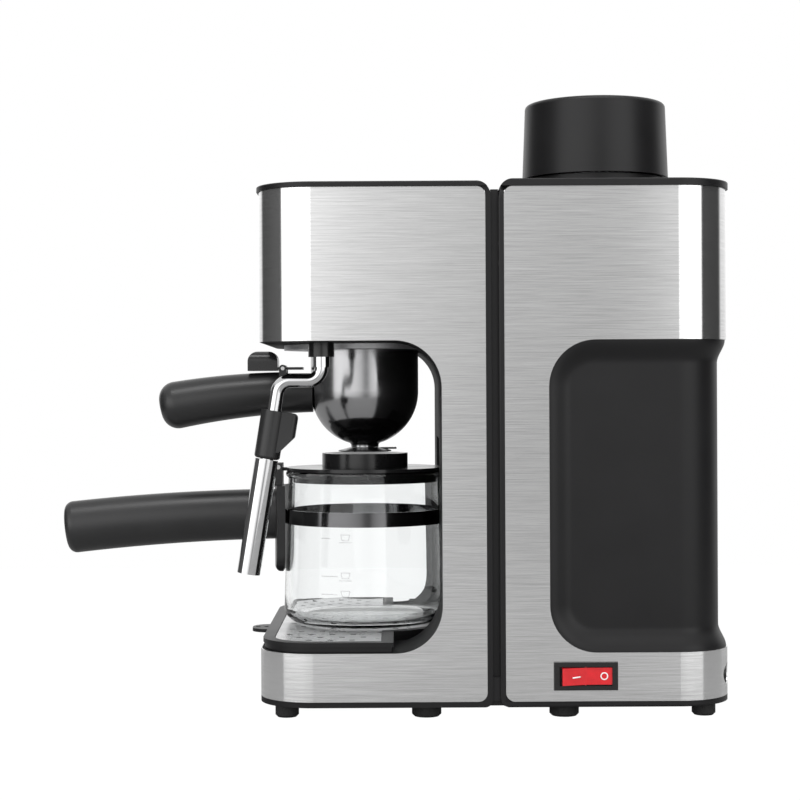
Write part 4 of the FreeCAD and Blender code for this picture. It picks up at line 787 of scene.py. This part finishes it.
def turned(profile, axis, count):
    """Points and faces of a shape turned about an upright axis from (radius, height) points."""
    points = []
    for radius, height in profile:
        for turn in range(count):
            angle = 2 * math.pi * turn / count
            points.append((axis.x + radius * math.cos(angle), axis.y + radius * math.sin(angle),
                           height))
    return points, grid_faces(len(profile), count, False, True)


class ESPRESSO_OT_jug(bpy.types.Operator):
    """Make the glass of the jug and its printed marks"""
    bl_idname = "espresso.jug"
    bl_label = "Jug"

    def execute(self, context):
        sizes = settings().jug
        axis = Vector(((JUG_LOW.x + JUG_HIGH.x) / 2, 0, 0))
        glass = self.glass(sizes, axis)
        self.marks(axis, glass)
        dress("fitting_black", "carafe_lid")
        dress("dark_band", "carafe_band")
        dress("drawn_steel", "lid_pin", "band_screw")
        dress("handle_black", "carafe_handle")
        return {"FINISHED"}

    def glass(self, sizes, axis):
        low, high = JUG_LOW.z, JUG_HIGH.z
        radius = (JUG_HIGH.x - JUG_LOW.x) / 2
        neck = radius - sizes.draft
        heel = sizes.heel
        tall = high - sizes.lip - low - heel
        outer = [(0.0, low + PUNT_RISE), (radius - PUNT_EDGE[0], low + PUNT_EDGE[1]),
                 (radius - heel, low)]
        for angle in steps(0, math.pi / 2, HEEL_STEPS)[1:]:
            outer.append((radius - heel * (1 - math.sin(angle)), low + heel * (1 - math.cos(angle))))
        outer += [(radius - sizes.draft * share, low + heel + tall * share)
                  for share in steps(0, 1, WALL_STEPS)[1:]]
        outer += [(neck + reach * MM, high - drop * MM) for reach, drop in LIP_OUTSIDE]
        bore, round_in = radius - sizes.wall, heel - sizes.wall
        inner = [(neck + reach * MM, high - drop * MM) for reach, drop in LIP_INSIDE]
        inner += [(bore - sizes.draft * share, low + heel + tall * share)
                  for share in steps(1, 0, WALL_STEPS)]
        for angle in steps(math.pi / 2, 0, HEEL_STEPS)[1:]:
            inner.append((bore - round_in * (1 - math.sin(angle)),
                          low + sizes.base + round_in * (1 - math.cos(angle))))
        inner += [(radius - FLOOR_EDGE[0], low + sizes.base + FLOOR_EDGE[1]),
                  (0.0, low + sizes.base + FLOOR_RISE)]
        points, faces = turned(outer + inner, axis, sizes.segments)
        piece = add_piece("jug_glass", points, faces, "clear_glass", "carafe", sharp=60)
        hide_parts("carafe_glass")
        return piece

    def marks(self, axis, glass):
        """Frosted dashes and cup signs at the filling levels, on the near side of the glass."""
        quads = []
        left = axis.x + DASH_LEFT
        for level, run in FILL_MARKS:
            z = JUG_LOW.z + level * MM
            quads += strip((left, z), (left + DASH_LENGTH * run, z), DASH_WIDTH)
            quads += self.cup(left + DASH_LENGTH + CUP_GAP, z - CUP_DROP)
        draped("jug_marks", quads, glass, "jug_print", "carafe")

    def cup(self, x, z):
        """Outline of a cup on its saucer."""
        half, top = CUP_HALF, z + CUP_HEIGHT
        foot, saucer, under = half * CUP_FOOT, half * SAUCER, z - SAUCER_DROP
        lines = (((x - half, top), (x - foot, z)), ((x + half, top), (x + foot, z)),
                 ((x - foot, z), (x + foot, z)), ((x - half, top), (x + half, top)),
                 ((x - saucer, under), (x + saucer, under)))
        return [quad for start, end in lines for quad in strip(start, end, CUP_LINE)]


def strip(start, end, width, parts=6):
    """A straight line of the given width in side view, as quads of (x, z) corners."""
    run = Vector((end[0] - start[0], end[1] - start[1]))
    across = Vector((-run.y, run.x)).normalized() * width / 2
    quads = []
    for index in range(parts):
        a = Vector(start) + run * index / parts
        b = Vector(start) + run * (index + 1) / parts
        quads.append([a - across, b - across, b + across, a + across])
    return quads


def draped(name, quads, target, finish_name, body):
    """Thin printed film: quads of (x, z) corners laid on a piece from the near side."""
    corners = [target.matrix_world @ vertex.co for vertex in target.data.vertices]
    tree = BVHTree.FromPolygons(corners, [tuple(face.vertices) for face in target.data.polygons])
    points, faces = [], []
    for quad in quads:
        faces.append(tuple(range(len(points), len(points) + 4)))
        for x, z in quad:
            hit = tree.ray_cast(Vector((x, -1.0, z)), Vector((0, 1, 0)))[0]
            if hit is None:
                raise RuntimeError(name + " misses the piece that it is printed on")
            points.append(hit - Vector((0, PRINT_LIFT, 0)))
    piece = add_piece(name, points, faces, finish_name, body)
    film = piece.modifiers.new("Film", "SOLIDIFY")
    film.thickness = FILM
    film.offset = 1


# Switch
# The bar's ends, as places from the middle of the rocker, and its width
BAR_ENDS, BAR_WIDTH = ((-7.4 * MM, -0.6 * MM), (-3.4 * MM, -0.2 * MM)), 0.7 * MM
# The ring's distance from the middle of the rocker, its two radii and its mesh steps
RING_PLACE, RING_INNER, RING_OUTER, RING_STEPS = 8.6 * MM, 1.35 * MM, 1.95 * MM, 36


class ESPRESSO_OT_switch(bpy.types.Operator):
    """Finish the rocker switch and print its two marks"""
    bl_idname = "espresso.switch"
    bl_label = "Switch"

    def execute(self, context):
        dress("rocker_red", "switch_rocker")
        dress("fitting_black", "switch_bezel", "cord_gland")
        middle_x = (ROCKER_LOW.x + ROCKER_HIGH.x) / 2
        middle_z = (ROCKER_LOW.z + ROCKER_HIGH.z) / 2
        quads = strip(*[(middle_x + x, middle_z + z) for x, z in BAR_ENDS], BAR_WIDTH)
        centre = Vector((middle_x + RING_PLACE, middle_z))
        rays = [Vector((math.cos(angle), math.sin(angle)))
                for angle in steps(0, 2 * math.pi, RING_STEPS)]
        for a, b in zip(rays, rays[1:]):
            quads.append([centre + a * RING_INNER, centre + b * RING_INNER,
                          centre + b * RING_OUTER, centre + a * RING_OUTER])
        draped("rocker_marks", quads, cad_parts["switch_rocker"], "switch_print", "rocker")
        return {"FINISHED"}


# Finishes of the remaining groups
class ESPRESSO_OT_casing(bpy.types.Operator):
    """Finish the casing, its covers, wraps, feet and screws"""
    bl_idname = "espresso.casing"
    bl_label = "Casing"

    def execute(self, context):
        dress("brushed_steel", "front_wrap", "rear_wrap")
        dress("bay_black", "front_shell")
        dress("casing_black", "rear_shell", "seam_frame", "base_plate",
              "front_top_cover", "rear_top_cover")
        dress("rubber", "feet")
        dress("drawn_steel", "frame_screws", "base_screws")
        return {"FINISHED"}


class ESPRESSO_OT_boiler(bpy.types.Operator):
    """Finish the boiler, its cap, pipes and wiring"""
    bl_idname = "espresso.boiler"
    bl_label = "Boiler"

    def execute(self, context):
        dress("cast_aluminium", "boiler_pot", "boiler_top", "filler_neck", "steam_valve", "cap_plug",
              "neck_nut")
        dress("drawn_steel", "boiler_screws", "heating_element", "thermostat", "relief_valve",
              "relief_spring", "steam_pipe", "brew_pipe", "wand_feed_pipe", "valve_spindle",
              "collar_nut")
        dress("rubber", "boiler_gasket", "cap_gasket")
        dress("cap_black", "boiler_cap", "steam_knob")
        dress("wire_cover", "wiring")
        return {"FINISHED"}


class ESPRESSO_OT_brewing(bpy.types.Operator):
    """Finish the brew head and the portafilter"""
    bl_idname = "espresso.brewing"
    bl_label = "Brew head and portafilter"

    def execute(self, context):
        dress("cast_aluminium", "brew_head")
        dress("drawn_steel", "head_screws", "shower_screen", "shower_screw", "filter_basket",
              "handle_bolt", "clip_pin")
        dress("rubber", "group_gasket")
        dress("dark_chrome", "portafilter_bowl", "portafilter_spout")
        dress("handle_black", "portafilter_handle")
        dress("fitting_black", "filter_clip", "strength_lever")
        return {"FINISHED"}


class ESPRESSO_OT_tray_and_wand(bpy.types.Operator):
    """Finish the drip tray and the steam wand"""
    bl_idname = "espresso.tray_and_wand"
    bl_label = "Drip tray and steam wand"

    def execute(self, context):
        dress("casing_black", "drip_tray")
        dress("grid_chrome", "drip_grid")
        dress("bright_chrome", "wand_tube", "froth_sleeve")
        dress("fitting_black", "wand_collar")
        dress("handle_black", "wand_grip")
        return {"FINISHED"}


# Stage
def math_node(tree, operation, *values):
    """A sum in a shader, from numbers and sockets."""
    node = tree.nodes.new("ShaderNodeMath")
    node.operation = operation
    for socket, value in zip(node.inputs, values):
        if isinstance(value, (int, float)):
            socket.default_value = value
        else:
            tree.links.new(value, socket)
    return node.outputs["Value"]


class ESPRESSO_OT_stage(bpy.types.Operator):
    """Set the floor, the studio light and the camera"""
    bl_idname = "espresso.stage"
    bl_label = "Stage"

    def execute(self, context):
        scene = context.scene
        stage = settings().stage
        scene.view_settings.view_transform = "Standard"
        self.floor(stage)
        self.studio(scene)
        self.lamp(stage)
        camera = bpy.data.cameras.new("Camera")
        camera.lens = stage.lens
        camera.sensor_width = SENSOR_WIDTH
        eye = bpy.data.objects.new("Camera", camera)
        lean = Matrix.Rotation(math.pi / 2 - stage.tilt, 4, "X")
        roll = Matrix.Rotation(stage.roll, 4, "Z")
        eye.matrix_world = Matrix.Translation(Vector(stage.eye)) @ (lean @ roll)
        scene.collection.objects.link(eye)
        scene.camera = eye
        return {"FINISHED"}

    def floor(self, stage):
        """A floor that is white to the camera and through the glass, and darker in mirrors."""
        half = stage.floor_size / 2
        corners = [(-half, -half, 0), (half, -half, 0), (half, half, 0), (-half, half, 0)]
        mesh = bpy.data.meshes.new("floor")
        mesh.from_pydata(corners, [], [(0, 1, 2, 3)])
        floor = bpy.data.objects.new("floor", mesh)
        bpy.context.scene.collection.objects.link(floor)
        made = Finish("floor").set(base_color=tuple(stage.floor), roughness=0.9)
        path = made.node("ShaderNodeLightPath").outputs
        mirrored = math_node(made.tree, "MULTIPLY", path["Is Glossy Ray"], FLOOR_MIRRORED)
        through = math_node(made.tree, "MAXIMUM", mirrored, path["Is Transmission Ray"])
        seen = math_node(made.tree, "MAXIMUM", path["Is Camera Ray"], through)
        glow = made.node("ShaderNodeEmission")
        glow.inputs["Strength"].default_value = FLOOR_GLOW
        mix = made.node("ShaderNodeMixShader")
        made.join(math_node(made.tree, "MULTIPLY", seen, FLOOR_SHARE), mix.inputs["Fac"])
        made.join(made.shader.outputs["BSDF"], mix.inputs[1])
        made.join(glow.outputs["Emission"], mix.inputs[2])
        made.join(mix.outputs["Shader"], made.tree.nodes["Material Output"].inputs["Surface"])
        mesh.materials.append(made.material)

    def lamp(self, stage):
        light = bpy.data.lights.new("overhead", "AREA")
        light.shape = "RECTANGLE"
        light.size, light.size_y = LAMP_SIZE
        light.energy = stage.lamp_power
        lamp = bpy.data.objects.new("overhead", light)
        lamp.location = LAMP_PLACE
        lamp.rotation_euler = (LAMP_LEAN, 0, 0)
        bpy.context.scene.collection.objects.link(lamp)

    def studio(self, scene):
        """White background, and round the object the soft boxes and dark gaps of a studio."""
        world = bpy.data.worlds.new("studio")
        world.use_nodes = True
        scene.world = world
        tree = world.node_tree
        join = tree.links.new
        place = tree.nodes.new("ShaderNodeTexCoord")
        axes = tree.nodes.new("ShaderNodeSeparateXYZ")
        join(place.outputs["Generated"], axes.inputs["Vector"])
        ahead = math_node(tree, "MULTIPLY", axes.outputs["Y"], -1.0)
        turn = math_node(tree, "ARCTAN2", axes.outputs["X"], ahead)
        ring = tree.nodes.new("ShaderNodeValToRGB")
        join(math_node(tree, "MULTIPLY_ADD", turn, 0.5 / math.pi, 0.5), ring.inputs["Fac"])
        elements = ring.color_ramp.elements
        for index, (degrees, level) in enumerate(STUDIO_RING):
            element = elements[index] if index < 2 else elements.new(1.0)
            element.position = 0.5 + degrees / 360
            element.color = (*[level / STUDIO_PEAK] * 3, 1)
        high = tree.nodes.new("ShaderNodeMapRange")
        high.interpolation_type = "SMOOTHSTEP"
        join(axes.outputs["Z"], high.inputs["Value"])
        for end, height in zip(("Min", "Max"), TOP_HEIGHTS):
            high.inputs["From " + end].default_value = height
        mix = tree.nodes.new("ShaderNodeMix")
        mix.data_type = "RGBA"
        join(high.outputs["Result"], mix.inputs["Factor"])
        join(ring.outputs["Color"], mix.inputs["A"])
        mix.inputs["B"].default_value = (*[STUDIO_TOP / STUDIO_PEAK] * 3, 1)
        path = tree.nodes.new("ShaderNodeLightPath").outputs
        seen = math_node(tree, "MAXIMUM", path["Is Camera Ray"], path["Is Transmission Ray"])
        room = tree.nodes["Background"]
        join(mix.outputs["Result"], room.inputs["Color"])
        slope = tree.nodes.new("ShaderNodeMapRange")
        join(axes.outputs["Z"], slope.inputs["Value"])
        for end, (height, share) in zip(("Min", "Max"), STUDIO_SLOPE):
            slope.inputs["From " + end].default_value = height
            slope.inputs["To " + end].default_value = share * STUDIO_PEAK
        join(slope.outputs["Result"], room.inputs["Strength"])
        white = tree.nodes.new("ShaderNodeBackground")
        choice = tree.nodes.new("ShaderNodeMixShader")
        white.inputs["Color"].default_value = (1, 1, 1, 1)
        join(seen, choice.inputs["Fac"])
        join(room.outputs["Background"], choice.inputs[1])
        join(white.outputs["Background"], choice.inputs[2])
        join(choice.outputs["Shader"], tree.nodes["World Output"].inputs["Surface"])


class ESPRESSO_PT_panel(bpy.types.Panel):
    """Lists the pieces of the machine and their sizes"""
    bl_label = "Espresso machine"
    bl_idname = "ESPRESSO_PT_panel"
    bl_space_type = "VIEW_3D"
    bl_region_type = "UI"
    bl_category = "Espresso"

    def draw(self, context):
        for maker in MAKERS:
            self.layout.operator(maker.bl_idname)
        for group in ("casing", "jug", "knob", "spring", "colours", "stage"):
            values = getattr(settings(), group)
            column = self.layout.column(align=True)
            for key in values.__annotations__:
                column.prop(values, key)


MAKERS = [
    ESPRESSO_OT_casing, ESPRESSO_OT_rear_casing, ESPRESSO_OT_wrap_hems, ESPRESSO_OT_boiler,
    ESPRESSO_OT_relief_spring, ESPRESSO_OT_steam_knob, ESPRESSO_OT_brewing, ESPRESSO_OT_jug,
    ESPRESSO_OT_tray_and_wand, ESPRESSO_OT_switch, ESPRESSO_OT_stage,
]
GROUPS = [CasingSizes, JugSizes, KnobSizes, SpringSizes, FinishColours, StageSettings,
          MachineSettings]


def register():
    for kind in GROUPS + MAKERS + [ESPRESSO_PT_panel]:
        bpy.utils.register_class(kind)
    bpy.types.Scene.espresso_machine = PointerProperty(type=MachineSettings)


def unregister():
    del bpy.types.Scene.espresso_machine
    for kind in reversed(GROUPS + MAKERS + [ESPRESSO_PT_panel]):
        bpy.utils.unregister_class(kind)


def main():
    register()
    for maker in MAKERS:
        group, name = maker.bl_idname.split(".")
        getattr(getattr(bpy.ops, group), name)()


if __name__ == "__main__":
    main()
